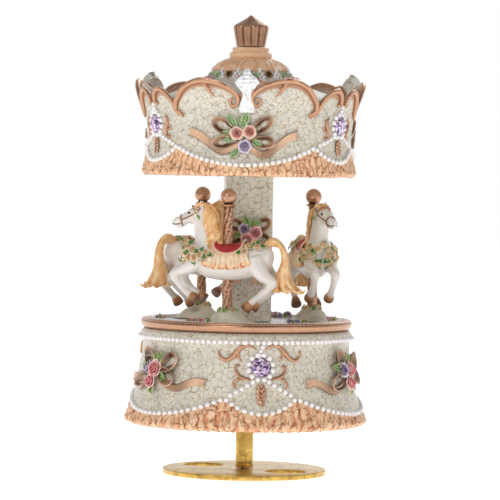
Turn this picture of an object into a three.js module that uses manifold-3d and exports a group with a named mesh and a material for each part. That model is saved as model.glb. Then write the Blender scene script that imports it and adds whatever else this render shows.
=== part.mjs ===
// Carousel music box, about 180 mm tall.
//
// A resin merry-go-round with three horses turns on a brass stand. The stand plate is also the winding
// key: its post and arbor carry the crown wheel of an 18-note musical movement that is screwed inside
// the base. As the spring runs down, the whole carousel turns on the stand, and the crown wheel drives
// the pin cylinder and the air-brake governor.
//
// Millimetres, +Z up. The origin is the centre of the stand plate's underside. Angles round the
// carousel are measured from the front, -Y, and grow towards +X.

import * as THREE from 'three';
import { mergeVertices } from 'three/addons/utils/BufferGeometryUtils.js';
import Module from 'manifold-3d';

const wasm = await Module();
wasm.setup();

// Overall sizes.
const skirtRadius = 47.4;
const skirtBottom = 19.7;
const baseHeight = 37.3;
const columnHeight = 57.1;
const crownRadius = 41;
const crownHeight = 36.1;
const standRadius = 32.2;

// Fits.
const fit = 0.3;
const runningFit = 0.3;

// Stand: plate, post, screw and arbor.
const plateThickness = 2;
const fingerHoleRadius = 8;
const fingerHoleOffset = 20.3;
const fingerHoleAngle = 53;
const postRadius = 3.5;
const arborRadius = 2;
const arborSocketDepth = 11;
const plateScrewRadius = 1.5;
const plateScrewHeadRadius = 3;
const plateScrewHeadHeight = 0.8;
const plateScrewGrip = 6;

// Base casing, cover and deck.
const baseWall = 2.8;
const casingRoof = 2;
const neckInset = 7.1;
const coverInset = 6.9;
const coverRecess = 3.3;
const coverThickness = 2;
const coverHoleClearance = 1;
const rimHeight = 3.7;
const rimWidth = 3;
const rimOverhang = 1.2;
const deckThickness = 2.7;
const skirtRipples = 24;
const skirtRippleDepth = 1.4;

// Column, poles, mounds and horses.
const columnSide = 18.4;
const columnChamfer = 1.4;
const columnTurn = 3;
const horseCount = 3;
const poleCircle = 26.5;
const polePhase = -16.6;
const poleRadius = 1.9;
const poleHeight = 52;
const poleBallRadius = 3.15;
const poleCollarRadius = 3;
const moundRadius = 8.5;
const moundHeight = 5.4;
const horseLift = 25;

// Canopy.
const crownWall = 2.8;
const crownPhase = -2;
const crownFlare = 2.7;
const crownRipples = 24;
const crownRippleDepth = 0.8;
const archDip = 5.2;
const notchDip = 9.2;
const smallArchDip = 3;
const archPeakAngle = 22;
const notchAngle = 41;
const smallArchAngle = 52;
const floorThickness = 2;
const roofWall = 2.5;
const roofRise = 9.7;
const roofRimDrop = 8.7;
const collarRadius = 8.4;
const collarHeight = 4.5;
const finialRadius = 6.87;
const finialHeight = 12.3;

// Trim on the walls.
const gemRadius = 3.65;
const gemDepth = 1.8;
const baseGemPhase = 8;
const baseGemDrop = 12.6;
const baseSprayDrop = 17.5;
const baseSprayPhase = -54;
const canopyGemPhase = 58;
const canopyGemRise = 19.9;
const canopySprayRise = 14.6;
const plumeHeight = 17;
const plumeRise = 23.9;
const plumeThickness = 1.6;
const plumeStandOff = 1;
const columnSprayRise = 33.8;

// Musical movement. The cylinder lies along +X with its axis above the crown wheel.
const bedThickness = 2;
const bedGap = 0.4;
const crownTeeth = 36;
const pinionTeeth = 9;
const crownPitchRadius = 12.5;
const crownToothHeight = 1.5;
const crownWheelThickness = 2;
const drumRadius = 5.5;
const drumLength = 12;
const drumStart = 15;
const pinHeight = 0.45;
const combTeeth = 18;
const combThickness = 0.8;
const combReach = 7.5;
const combBlockDepth = 4.5;
const cylinderShaftRadius = 0.9;
const bearingThickness = 0.9;
const driveTeeth = 24;
const governorTeeth = 8;
const driveModule = 0.45;
const gearWidth = 1.2;
const springHousingRadius = 10.8;
const springHousingHeight = 8.2;
const springHousingWall = 0.8;
const springTurns = 4;
const springThickness = 0.5;
const wormRadius = 0.9;
const wormWheelRadius = 3.4;
const wormWheelTeeth = 16;
const fanRadius = 2.7;
const fanHeight = 3.2;

// Start and stop slider under the base.
const sliderAngle = 23.7;
const sliderWallGap = 1;
const sliderFlangeLength = 5.2;
const sliderKnobOffset = 1.6;
const sliderTravel = 2.5;
const sliderNeckWidth = 2;
const sliderNeckLength = 3;
const sliderKnobDrop = 4.2;

// Heights and radii that follow from the sizes above.
const coverBottom = skirtBottom + coverRecess;
const coverTop = coverBottom + coverThickness;
const casingTop = skirtBottom + baseHeight;
const neckRadius = skirtRadius - neckInset;
const cavityRadius = neckRadius - baseWall;
const recessRadius = skirtRadius - coverInset + fit;
const rimRadius = neckRadius + rimOverhang;
const rimBottom = casingTop + fit;
const deckTop = rimBottom + deckThickness;
const standingLevel = deckTop + fit;
const canopyBottom = deckTop + columnHeight;
const crownTop = canopyBottom + crownHeight;
const collarBottom = crownTop + roofRise;
const collarTop = collarBottom + collarHeight;
const bedBottom = coverTop + bedGap;
const bedTop = bedBottom + bedThickness;
const wheelBottom = bedTop + runningFit * 2;
const crownPitch = (2 * Math.PI * crownPitchRadius) / crownTeeth;
const pinionRadius = (crownPitchRadius * pinionTeeth) / crownTeeth;
const toothAddendum = 0.6;
const crownRoot = wheelBottom + crownWheelThickness;
const crownToothTop = crownRoot + crownToothHeight;
const cylinderLevel = crownToothTop - toothAddendum + pinionRadius;
const springHousingBottom = crownToothTop + runningFit;

// Facets round turned shapes, from the smallest to the largest.
const coarse = 8;
const round = 12;
const medium = 24;
const fine = 48;

const degrees = THREE.MathUtils.degToRad;

// ---------------------------------------------------------------- shape helpers

function toSolid(geometry) {
  const bare = geometry.clone();
  bare.deleteAttribute('normal');
  bare.deleteAttribute('uv');
  const merged = mergeVertices(bare, 1e-5);
  const corners = merged.index.array;
  const triangles = [];
  for (let i = 0; i < corners.length; i += 3) {
    const [a, b, c] = corners.slice(i, i + 3);
    if (a !== b && b !== c && c !== a) triangles.push(a, b, c);
  }
  const mesh = new wasm.Mesh({
    numProp: 3,
    vertProperties: new Float32Array(merged.attributes.position.array),
    triVerts: Uint32Array.from(triangles),
  });
  return new wasm.Manifold(mesh);
}

function toGeometry(solid) {
  const mesh = solid.getMesh();
  const geometry = new THREE.BufferGeometry();
  geometry.setAttribute('position', new THREE.BufferAttribute(new Float32Array(mesh.vertProperties), 3));
  geometry.setIndex(new THREE.BufferAttribute(new Uint32Array(mesh.triVerts), 1));
  geometry.computeVertexNormals();
  return geometry;
}

function join(...geometries) {
  const solids = geometries.map(toSolid);
  return toGeometry(solids.reduce((whole, next) => whole.add(next)));
}

function cut(geometry, ...tools) {
  const solids = tools.map(toSolid);
  return toGeometry(solids.reduce((whole, tool) => whole.subtract(tool), toSolid(geometry)));
}

function overlap(geometry, region) {
  return toGeometry(toSolid(geometry).intersect(toSolid(region)));
}

// A turned shape. The profile is a list of [radius, height] from the bottom up along the outside.
function turned(profile, segments) {
  const points = profile.map(([radius, height]) => new THREE.Vector2(radius, height));
  return new THREE.LatheGeometry(points, segments).rotateX(Math.PI / 2);
}

function disc(radius, bottom, top, segments = medium) {
  return turned([[0, bottom], [radius, bottom], [radius, top], [0, top]], segments);
}

function rod(radius, bottom, top, x = 0, y = 0, segments = round) {
  return disc(radius, bottom, top, segments).translate(x, y, 0);
}

function rodAlongX(radius, start, end, y, z, segments = round) {
  return disc(radius, start, end, segments).rotateY(Math.PI / 2).translate(0, y, z);
}

function block(xMin, xMax, yMin, yMax, zMin, zMax) {
  const geometry = new THREE.BoxGeometry(xMax - xMin, yMax - yMin, zMax - zMin);
  return geometry.translate((xMin + xMax) / 2, (yMin + yMax) / 2, (zMin + zMax) / 2);
}

function blob(centre, radii, across = 8, down = 5) {
  return new THREE.SphereGeometry(1, across, down).scale(...radii).translate(...centre);
}

// A tapered round limb between two points, with ball ends.
function limb(from, to, fromRadius, toRadius, sides = 6) {
  const start = new THREE.Vector3(...from);
  const end = new THREE.Vector3(...to);
  const along = end.clone().sub(start);
  const geometry = new THREE.CylinderGeometry(toRadius, fromRadius, along.length(), sides);
  const turn = new THREE.Quaternion().setFromUnitVectors(
    new THREE.Vector3(0, 1, 0),
    along.clone().normalize(),
  );
  geometry.applyQuaternion(turn);
  geometry.translate(...start.clone().add(end).multiplyScalar(0.5).toArray());
  return geometry;
}

function reshape(geometry, move) {
  const positions = geometry.attributes.position;
  const point = new THREE.Vector3();
  for (let i = 0; i < positions.count; i += 1) {
    point.fromBufferAttribute(positions, i);
    move(point);
    positions.setXYZ(i, point.x, point.y, point.z);
  }
  return geometry;
}

function angleFromFront(point) {
  return THREE.MathUtils.radToDeg(Math.atan2(point.x, -point.y));
}

// A gear blank with straight-sided teeth, cut thin enough to leave backlash on both flanks.
function gear(teeth, pitchRadius, addendum, dedendum, thickness, phase = 0) {
  const shape = new THREE.Shape();
  const pitchAngle = (2 * Math.PI) / teeth;
  const flank = (radius, width) => width / 2 / radius;
  for (let i = 0; i < teeth; i += 1) {
    const middle = phase + i * pitchAngle;
    const root = pitchRadius - dedendum;
    const tip = pitchRadius + addendum;
    const corners = [
      [root, middle - flank(root, thickness * 1.25)],
      [tip, middle - flank(tip, thickness * 0.6)],
      [tip, middle + flank(tip, thickness * 0.6)],
      [root, middle + flank(root, thickness * 1.25)],
    ];
    corners.forEach(([radius, angle], j) => {
      const x = radius * Math.cos(angle);
      const y = radius * Math.sin(angle);
      if (i === 0 && j === 0) shape.moveTo(x, y);
      else shape.lineTo(x, y);
    });
  }
  shape.closePath();
  return shape;
}

function extruded(shape, depth, segments = 12) {
  return new THREE.ExtrudeGeometry(shape, { depth, bevelEnabled: false, curveSegments: segments });
}

// ---------------------------------------------------------------- materials and placing

function finish(colour, roughness, metalness) {
  return new THREE.MeshStandardMaterial({ color: colour, roughness, metalness });
}

const creamResin = finish(0xd6d2c0, 0.6, 0);
const peachResin = finish(0xebbe96, 0.55, 0);
const ivoryResin = finish(0xe6e0d8, 0.4, 0);
const snowResin = finish(0xf2f1f0, 0.7, 0);
const roseGold = finish(0xb0826a, 0.35, 0.8);
const bronze = finish(0x96705a, 0.35, 0.8);
const brass = finish(0xc8a046, 0.3, 1);
const steel = finish(0xb8bcc0, 0.3, 1);
const nickel = finish(0xa9a59a, 0.45, 1);
const roseResin = finish(0xcd4650, 0.5, 0);
const amethyst = finish(0x966eaa, 0.1, 0);
const redKnob = finish(0x8c1e22, 0.4, 0);

const carousel = new THREE.Group();

function piece(name, geometry, material, turn = 0) {
  const mesh = new THREE.Mesh(geometry, material);
  mesh.name = name;
  mesh.rotation.z = degrees(turn);
  carousel.add(mesh);
}

// Three copies of a piece that is modelled at the front, spread evenly from the phase angle.
function pieceRing(name, geometry, material, phase) {
  for (let i = 0; i < horseCount; i += 1) {
    piece(`${name}_${i + 1}`, geometry, material, phase + (i * 360) / horseCount);
  }
}

// ---------------------------------------------------------------- stand

function standPlate() {
  const plate = disc(standRadius, 0, plateThickness, fine);
  const holes = [fingerHoleAngle, fingerHoleAngle + 180].map((angle) => {
    const x = fingerHoleOffset * Math.sin(degrees(angle));
    const y = -fingerHoleOffset * Math.cos(degrees(angle));
    return rod(fingerHoleRadius, -1, plateThickness + 1, x, y, 28);
  });
  const screwHole = rod(plateScrewRadius + fit, -1, plateThickness + 1);
  const counterbore = rod(plateScrewHeadRadius + fit, -1, plateScrewHeadHeight + 2 * fit);
  return cut(plate, ...holes, screwHole, counterbore);
}

const postBottom = plateThickness + fit;
const postTop = coverTop - fit;
const arborSocketFloor = postTop - arborSocketDepth;

function standPost() {
  const post = rod(postRadius, postBottom, postTop, 0, 0, 24);
  const screwSocket = rod(plateScrewRadius + fit, 0, postBottom + plateScrewGrip);
  const arborSocket = rod(arborRadius + fit, arborSocketFloor, postTop + 1);
  return cut(post, screwSocket, arborSocket);
}

function plateScrew() {
  const head = rod(plateScrewHeadRadius, fit, fit + plateScrewHeadHeight);
  const shank = rod(plateScrewRadius, fit, postBottom + plateScrewGrip - fit);
  return join(head, shank);
}

const arborTop = springHousingBottom + springHousingHeight + 1;

function mainWheel() {
  const rim = crownPitchRadius + 1;
  const web = disc(rim, wheelBottom, crownRoot, medium);
  const teeth = [];
  for (let i = 0; i < crownTeeth; i += 1) {
    const width = crownPitch * 0.4;
    const tooth = new THREE.Shape();
    tooth.moveTo(-width / 2, -0.2);
    tooth.lineTo(width / 2, -0.2);
    tooth.lineTo(width / 4, crownToothHeight);
    tooth.lineTo(-width / 4, crownToothHeight);
    tooth.closePath();
    const solid = extruded(tooth, 1.8).rotateX(Math.PI / 2).translate(0, -(rim - 2), crownRoot);
    teeth.push(solid.rotateZ(((i + 0.5) * 2 * Math.PI) / crownTeeth));
  }
  return cut(join(web, ...teeth), rod(arborRadius + fit, wheelBottom - 1, crownRoot + 1));
}

piece('stand_plate', standPlate(), brass);
piece('stand_post', standPost(), brass);
piece('plate_screw', plateScrew(), steel);
piece('winding_arbor', rod(arborRadius, arborSocketFloor + fit, arborTop), steel);
piece('main_wheel', mainWheel(), brass);

// ---------------------------------------------------------------- base

// Outside of the base: a rippled skirt, the drum wall, a lip, and the neck below the rim.
const baseProfile = [
  [skirtRadius - 1.9, skirtBottom],
  [skirtRadius, skirtBottom + 1.6],
  [skirtRadius, skirtBottom + 2.3],
  [skirtRadius - 1.7, skirtBottom + 5.3],
  [skirtRadius - 2.4, skirtBottom + 7.3],
  [skirtRadius - 3.8, skirtBottom + 12.3],
  [neckRadius + 0.4, casingTop - 9.5],
  [neckRadius + 0.4, casingTop - 5],
  [neckRadius + 1.5, casingTop - 2.2],
  [neckRadius, casingTop],
];

function radiusAt(profile, height) {
  for (let i = 1; i < profile.length; i += 1) {
    const [r0, z0] = profile[i - 1];
    const [r1, z1] = profile[i];
    if (height <= z1 && z1 > z0) return r0 + ((r1 - r0) * (height - z0)) / (z1 - z0);
  }
  return profile.at(-1)[0];
}

// Pulls the valleys of a ruffle inwards. The ripple is deepest at the hem and fades out at fadeHeight.
function ripple(geometry, count, depth, hemHeight, fadeHeight) {
  return reshape(geometry, (point) => {
    const fade = THREE.MathUtils.clamp((fadeHeight - point.z) / (fadeHeight - hemHeight), 0, 1);
    const radius = Math.hypot(point.x, point.y);
    if (radius === 0 || fade === 0) return;
    const wave = (1 - Math.cos(degrees(angleFromFront(point)) * count)) / 2;
    const scale = 1 - (depth * fade * wave) / radius;
    point.x *= scale;
    point.y *= scale;
  });
}

const coverScrewCircle = cavityRadius + 1.5;
const coverScrewHead = 1.5;
const coverScrewAngles = [60, 180, 300];

function polar(radius, angle) {
  return [radius * Math.sin(degrees(angle)), -radius * Math.cos(degrees(angle))];
}

function baseCasing() {
  const drum = turned([[0, skirtBottom], ...baseProfile, [0, casingTop]], fine);
  ripple(drum, skirtRipples, skirtRippleDepth, skirtBottom, skirtBottom + 7);
  const recess = disc(recessRadius, skirtBottom - 1, coverTop + fit, fine);
  const cavity = disc(cavityRadius, skirtBottom, casingTop - casingRoof, medium);
  const screwHoles = coverScrewAngles.map((angle) =>
    rod(1 + fit, coverBottom, coverTop + 7, ...polar(coverScrewCircle, angle), coarse),
  );
  return cut(drum, recess, cavity, ...screwHoles);
}

function coverScrew() {
  const head = rod(coverScrewHead, coverBottom - fit - 1, coverBottom - fit);
  const shank = rod(1, coverBottom - fit - 1, coverTop + 7 - fit, 0, 0, coarse);
  return join(head, shank).translate(0, -coverScrewCircle, 0);
}

const movementScrewX = -5;
const movementScrewY = crownPitchRadius + 1 + 2.2;
const sliderRadius = cavityRadius - sliderWallGap - sliderFlangeLength / 2;
const slotLength = sliderNeckLength + sliderTravel + 2 * fit;

function sliderSlot() {
  const outer = sliderRadius + sliderNeckLength / 2 + fit;
  const halfWidth = sliderNeckWidth / 2 + fit;
  const slot = block(-halfWidth, halfWidth, -outer, -(outer - slotLength), coverBottom - 1, coverTop + 1);
  return slot.rotateZ(degrees(sliderAngle));
}

function bottomCover() {
  const plate = disc(recessRadius - fit, coverBottom, coverTop, fine);
  const centre = rod(postRadius + coverHoleClearance, coverBottom - 1, coverTop + 1, 0, 0, 24);
  const coverHoles = coverScrewAngles.map((angle) =>
    rod(1 + fit, coverBottom - 1, coverTop + 1, ...polar(coverScrewCircle, angle), coarse),
  );
  const movementHoles = [-1, 1].map((side) =>
    rod(1 + fit, coverBottom - 1, coverTop + 1, movementScrewX, side * movementScrewY, coarse),
  );
  return cut(plate, centre, ...coverHoles, ...movementHoles, sliderSlot());
}

function rimRing() {
  const inner = rimRadius - rimWidth;
  const top = rimBottom + rimHeight;
  return turned([
    [inner, rimBottom],
    [rimRadius, rimBottom],
    [rimRadius, top - 0.6],
    [rimRadius - 0.6, top],
    [inner, top],
    [inner, rimBottom],
  ], fine);
}

piece('base_casing', baseCasing(), creamResin);
piece('bottom_cover', bottomCover(), creamResin);
coverScrewAngles.forEach((angle, i) => piece(`cover_screw_${i + 1}`, coverScrew(), steel, angle));
piece('rim_ring', rimRing(), roseGold);
piece('deck', disc(rimRadius - rimWidth - fit, rimBottom, deckTop, fine), snowResin);

// ---------------------------------------------------------------- column, mounds, poles

function column() {
  const half = columnSide / 2;
  const inner = half - columnChamfer;
  const outline = new THREE.Shape();
  outline.moveTo(-inner, -half);
  [[inner, -half], [half, -inner], [half, inner], [inner, half], [-inner, half], [-half, inner],
    [-half, -inner]].forEach(([x, y]) => outline.lineTo(x, y));
  outline.closePath();
  const height = canopyBottom - fit - standingLevel;
  return extruded(outline, height).translate(0, 0, standingLevel);
}

function mound() {
  const bore = poleRadius + fit;
  const top = standingLevel + moundHeight;
  return turned([
    [bore, standingLevel],
    [moundRadius, standingLevel],
    [moundRadius - 0.3, standingLevel + 1.2],
    [moundRadius - 2, top - 2.1],
    [bore + 2.4, top - 0.4],
    [bore, top],
    [bore, standingLevel],
  ], round).translate(0, -poleCircle, 0);
}

const ballCentre = standingLevel + poleHeight - poleBallRadius;

function pole() {
  const collar = ballCentre - poleBallRadius;
  const profile = [
    [0, standingLevel],
    [poleRadius, standingLevel],
    [poleRadius, collar - 0.6],
    [poleCollarRadius, collar - 0.4],
    [poleCollarRadius, collar + 0.4],
  ];
  for (let i = 1; i <= 7; i += 1) {
    const angle = -Math.PI / 2 + 0.35 + ((Math.PI - 0.35) * i) / 7;
    const radius = i === 7 ? 0 : poleBallRadius * Math.cos(angle);
    profile.push([radius, ballCentre + poleBallRadius * Math.sin(angle)]);
  }
  return turned(profile, coarse).translate(0, -poleCircle, 0);
}

piece('column', column(), creamResin, columnTurn);
pieceRing('mound', mound(), creamResin, polePhase);
pieceRing('pole', pole(), roseGold, polePhase);

// ---------------------------------------------------------------- horses

// The horse is modelled walking along +X, with its left side at +Y, and its pole through the origin.
// Heights are from the middle of its barrel.
const horseSide = [
  [16, 0.5], [14, 5], [13.8, 11.6], [19.4, 11.6], [22, 13], [21.4, 15], [16, 19.2], [11, 22.4], [9.6, 20.6],
  [3, 20], [2, 12], [3, 7], [-1.4, 5.4], [-6, 7], [-11.8, 6], [-17.6, 3], [-15, -5], [-8, -7], [2, -7.6],
  [12, -5],
];
const foreleg = [
  [8, -3], [14, 0], [21.6, -4.6], [21.4, -7.2], [14.5, -13], [13.4, -15.4], [10.6, -14.8], [11.6, -12.6],
  [17.4, -7], [9, -7],
];
const hindleg = [
  [-7, -3], [-15, 2], [-21.4, -7.6], [-20, -10.2], [-12.5, -16], [-10.5, -18.4], [-8.2, -17.4],
  [-9.8, -14.6], [-17, -8.6], [-12, -7.4],
];
const horseNeckWidth = 5;
const horseLegGap = 3.6;
const horseLegWidth = 2.6;

function slab(outline, from, to) {
  const shape = new THREE.Shape(outline.map(([x, z]) => new THREE.Vector2(x, z)));
  return extruded(shape, to - from).rotateX(Math.PI / 2).translate(0, to, 0);
}

function horse() {
  const legs = [foreleg, hindleg].flatMap((outline) => [
    slab(outline, horseLegGap / 2, horseLegGap / 2 + horseLegWidth),
    slab(outline, -horseLegGap / 2 - horseLegWidth, -horseLegGap / 2),
  ]);
  const parts = [
    slab(horseSide, -horseNeckWidth / 2, horseNeckWidth / 2),
    blob([-1, 0, 0], [16.2, 5.6, 6.8], 10, 6),
    limb([-15, 0, 3], [-23, 0, 5], 2, 2, 4),
    limb([-22.8, 0, 5.6], [-25, 0, -12.6], 1.8, 3, 4),
  ];
  const skirt = turned([[0, -4], [9.2, -4], [7.6, 6], [0, 8]], round).scale(1, 0.7, 1);
  const bore = rod(poleRadius + fit, -30, 30, 0, 0, coarse);
  return cut(join(...parts, ...legs, skirt), bore)
    .rotateZ(Math.PI)
    .translate(0, -poleCircle, standingLevel + horseLift);
}

pieceRing('horse', horse(), ivoryResin, polePhase);

// ---------------------------------------------------------------- canopy

function crownProfile() {
  const outside = [
    [crownRadius + 0.3, canopyBottom],
    [crownRadius + 0.9, canopyBottom + 1.4],
    [crownRadius - 0.5, canopyBottom + 6.9],
    [crownRadius - 1, canopyBottom + 9.9],
    [crownRadius, canopyBottom + 24.5],
    [crownRadius + crownFlare, canopyBottom + 33.9],
    [crownRadius + crownFlare, crownTop],
  ];
  return outside;
}

// How far the crown's top edge dips below its peaks, by the angle away from the middle of a big panel:
// two arches over each big panel, a notch on either side of it, and a lower arch over each small panel.
const archDips = [
  [0, archDip],
  [archPeakAngle, 0],
  [notchAngle, notchDip],
  [smallArchAngle, smallArchDip],
  [60, smallArchDip],
];

function archHeight(angle) {
  const away = Math.abs(((((angle - crownPhase) % 120) + 180) % 120) - 60);
  const next = archDips.findIndex(([limit]) => away <= limit && limit > 0);
  const [a0, dip0] = archDips[next - 1];
  const [a1, dip1] = archDips[next];
  const swell = (1 - Math.cos((Math.PI * (away - a0)) / (a1 - a0))) / 2;
  return crownTop - dip0 - (dip1 - dip0) * swell;
}

function crownShell() {
  const bore = crownRadius - crownWall;
  const flareBottom = canopyBottom + 24.5;
  const ring = turned([
    ...crownProfile(),
    [crownRadius + crownFlare - crownWall + 1.3, crownTop],
    [crownRadius + crownFlare - crownWall + 1, crownTop - 3.4],
    [bore, canopyBottom + 20.9],
    [bore, canopyBottom],
    [crownRadius + 0.3, canopyBottom],
  ], fine);
  ripple(ring, crownRipples, crownRippleDepth, canopyBottom, canopyBottom + 8);
  return reshape(ring, (point) => {
    if (point.z <= flareBottom) return;
    const stretch = (archHeight(angleFromFront(point)) - flareBottom) / (crownTop - flareBottom);
    point.z = flareBottom + (point.z - flareBottom) * stretch;
  });
}

function canopyFloor() {
  const radius = crownRadius - crownWall - fit - crownRippleDepth;
  return disc(radius, canopyBottom, canopyBottom + floorThickness, fine);
}

// The roof's rim stands inside the crown's flare, low enough to stay behind the notches.
const roofRadius = crownRadius - crownWall + 1.7;
const roofBottom = crownTop - roofRimDrop;

// Outside of the roof, from its rim to the foot of the collar: an eaves slope, a drum and a draped cap.
const roofProfile = [
  [roofRadius, roofBottom],
  [roofRadius + 0.3, roofBottom + 1.5],
  [roofRadius - 9.9, crownTop - 3.7],
  [20, crownTop + 0.3],
  [17, crownTop + 2.8],
  [15, crownTop + 6.6],
  [collarRadius - 0.4, collarBottom],
];

function canopyRoof() {
  const middle = collarTop - 1.7;
  return turned([
    [0, crownTop + 6.7 - roofWall],
    [14.8 - roofWall, crownTop + 6.7 - roofWall],
    [17.1 - roofWall, crownTop + 3.6 - roofWall],
    [20.7 - roofWall, crownTop + 0.5 - roofWall],
    [roofRadius - 7.9 - roofWall, crownTop - 3.7 - roofWall],
    [roofRadius - 0.8 - roofWall, roofBottom],
    ...roofProfile,
    [collarRadius, collarBottom],
    [collarRadius, middle],
    [collarRadius - 1.1, middle],
    [collarRadius - 1.1, collarTop],
    [0, collarTop],
  ], medium);
}

function finial() {
  const foot = collarTop + fit;
  return turned([
    [0, foot],
    [finialRadius - 1, foot],
    [finialRadius, foot + finialHeight * 0.49],
    [finialRadius - 0.4, foot + finialHeight * 0.66],
    [finialRadius - 1.9, foot + finialHeight * 0.7],
    [0, foot + finialHeight],
  ], round);
}

piece('canopy_crown', crownShell(), creamResin);
piece('canopy_floor', canopyFloor(), creamResin);
piece('canopy_roof', canopyRoof(), peachResin);
piece('finial', finial(), bronze);

// ---------------------------------------------------------------- gems, sprays and plumes

// A round cut stone whose flat back stands clear of a wall of the given radius, facing the front.
function gem(wallRadius, height) {
  return turned([
    [0, 0],
    [gemRadius, 0],
    [gemRadius, gemDepth * 0.4],
    [gemRadius * 0.62, gemDepth],
    [0, gemDepth],
  ], coarse)
    .rotateX(Math.PI / 2)
    .translate(0, -(wallRadius + fit), height);
}

// A bow with three roses, at the front of a wall. Its back follows the wall's own outline.
function spray(wall, radius, height, scale) {
  const wings = [-1, 1].map((side) => blob([side * 6.6, 0, 0.4], [5, 1.3, 4.4], 6, 4));
  const roses = [[-2.6, 1.2], [2.6, 1.8], [0, -2.8]].map(([x, z]) => blob([x, -0.6, z], [3, 2.6, 3], 6, 5));
  const bow = join(...wings, ...roses);
  bow.scale(scale, 1, scale);
  reshape(bow, (point) => {
    const lift = radiusAt(wall, height + point.z) - radius;
    const reach = Math.max(radius + lift, 1);
    const drop = reach - Math.sqrt(Math.max(reach * reach - point.x * point.x, 0));
    point.y += drop - lift;
  });
  bow.translate(0, -(radius + 0.9), height);
  const bottom = height - 14;
  const top = height + 14;
  const backing = [[0, bottom]];
  const steps = 3;
  for (let i = 0; i <= steps; i += 1) {
    const level = bottom + ((top - bottom) * i) / steps;
    backing.push([radiusAt(wall, level) + fit + 0.1, level]);
  }
  backing.push([0, top]);
  return cut(bow, turned(backing, fine));
}

const baseWallProfile = [[skirtRadius, skirtBottom], ...baseProfile];
const baseGemHeight = casingTop - baseGemDrop;
const baseGemWall = radiusAt(baseProfile, baseGemHeight - gemRadius);
const baseSprayHeight = casingTop - baseSprayDrop;
const baseSprayRadius = radiusAt(baseProfile, baseSprayHeight);
const crownOutline = crownProfile();
const canopyGemHeight = canopyBottom + canopyGemRise;
const canopyGemWall = radiusAt(crownOutline, canopyGemHeight + gemRadius);
const canopySprayHeight = canopyBottom + canopySprayRise;

// A fan of pearls over a drop, cut from one thin outline that leans with the crown's flare.
function plume() {
  const half = [[3.2, 0], [3, 4], [1.5, 7.7], [4.5, 11.6], [3.2, 13.8], [1, 15.6], [0.9, 17]];
  const outline = new THREE.Shape();
  const scale = plumeHeight / 17;
  half.forEach(([x, z], i) => {
    if (i === 0) outline.moveTo(x, z * scale);
    else outline.lineTo(x, z * scale);
  });
  half.slice().reverse().forEach(([x, z]) => outline.lineTo(-x, z * scale));
  outline.closePath();
  const bottom = canopyBottom + plumeRise;
  const fan = extruded(outline, plumeThickness).rotateX(Math.PI / 2);
  const lean = Math.atan2(crownFlare, 9.4);
  const level = radiusAt(crownOutline, bottom);
  fan.rotateX(lean).translate(0, -(level + plumeStandOff), bottom);
  const limit = disc(skirtRadius - 0.4, bottom - 5, bottom + plumeHeight + 5, fine);
  return overlap(fan, limit);
}

function columnSpray() {
  const height = standingLevel + columnSprayRise;
  const front = columnSide / 2 + fit;
  const roses = [[-2.4, 1.6], [1.8, 0.8], [-0.8, -2.2]].map(([x, z]) => blob([x, 0, z], [2.8, 2.4, 2.8], 6, 5));
  const wings = [-1, 1].map((side) => blob([side * 4.6, 0, 0.4], [3.8, 1.2, 4.4], 6, 4));
  const bow = join(...roses, ...wings).translate(0, -front, height);
  return cut(bow, block(-20, 20, -front, 20, height - 20, height + 20));
}

pieceRing('base_gem', gem(baseGemWall, baseGemHeight), amethyst, baseGemPhase);
pieceRing(
  'base_spray',
  spray(baseWallProfile, baseSprayRadius, baseSprayHeight, 1),
  roseResin,
  baseSprayPhase,
);
pieceRing('canopy_gem', gem(canopyGemWall, canopyGemHeight), amethyst, canopyGemPhase);
pieceRing(
  'canopy_spray',
  spray(crownOutline, radiusAt(crownOutline, canopySprayHeight), canopySprayHeight, 0.9),
  roseResin,
  crownPhase,
);
pieceRing('plume', plume(), ivoryResin, crownPhase);
piece('column_spray', columnSpray(), roseResin, columnTurn);

// ---------------------------------------------------------------- musical movement

const drumEnd = drumStart + drumLength;
const combTip = drumRadius + pinHeight + runningFit;
const combBack = combTip + combReach + combBlockDepth;
const combBottom = cylinderLevel - combThickness / 2;
const driveRadius = (driveModule * driveTeeth) / 2;
const governorRadius = (driveModule * governorTeeth) / 2;
const driveStart = drumEnd + 1;
const driveEnd = driveStart + gearWidth;
const rightBearingStart = driveEnd + 0.7;
const rightBearingEnd = rightBearingStart + bearingThickness;
const leftBearingEnd = drumStart - runningFit;
const leftBearingStart = leftBearingEnd - bearingThickness;
const governorY = -(driveRadius + governorRadius);
const wormWheelStart = rightBearingEnd + 0.7;
const wormX = wormWheelStart + gearWidth / 2;
const wormY = governorY - wormWheelRadius - 0.35 - wormRadius - runningFit;
const combScrewXs = [drumStart + 2, drumEnd - 2];
const combScrewY = combBack - combBlockDepth / 2;

function bedplate() {
  const plate = block(-10, rightBearingEnd + 0.3, -(movementScrewY + 2), combBack + 0.5, bedBottom, bedTop);
  const comb = block(
    drumStart,
    drumEnd,
    combBack - combBlockDepth,
    combBack,
    bedTop - 0.5,
    combBottom - fit,
  );
  const arborHole = rod(arborRadius + runningFit, bedBottom - 1, bedTop + 1);
  const screwHoles = [-1, 1].map((side) =>
    rod(1 + fit, bedBottom - 1, bedTop + 1, movementScrewX, side * movementScrewY, coarse),
  );
  const combHoles = combScrewXs.map((x) => rod(0.8 + fit, bedTop + 1, combBottom + 1, x, combScrewY, 8));
  const clearance = drumRadius + pinHeight + runningFit;
  const trough = rodAlongX(clearance, drumStart - fit, drumEnd + fit, 0, cylinderLevel, medium);
  return cut(join(plate, comb), arborHole, ...screwHoles, ...combHoles, trough);
}

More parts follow.
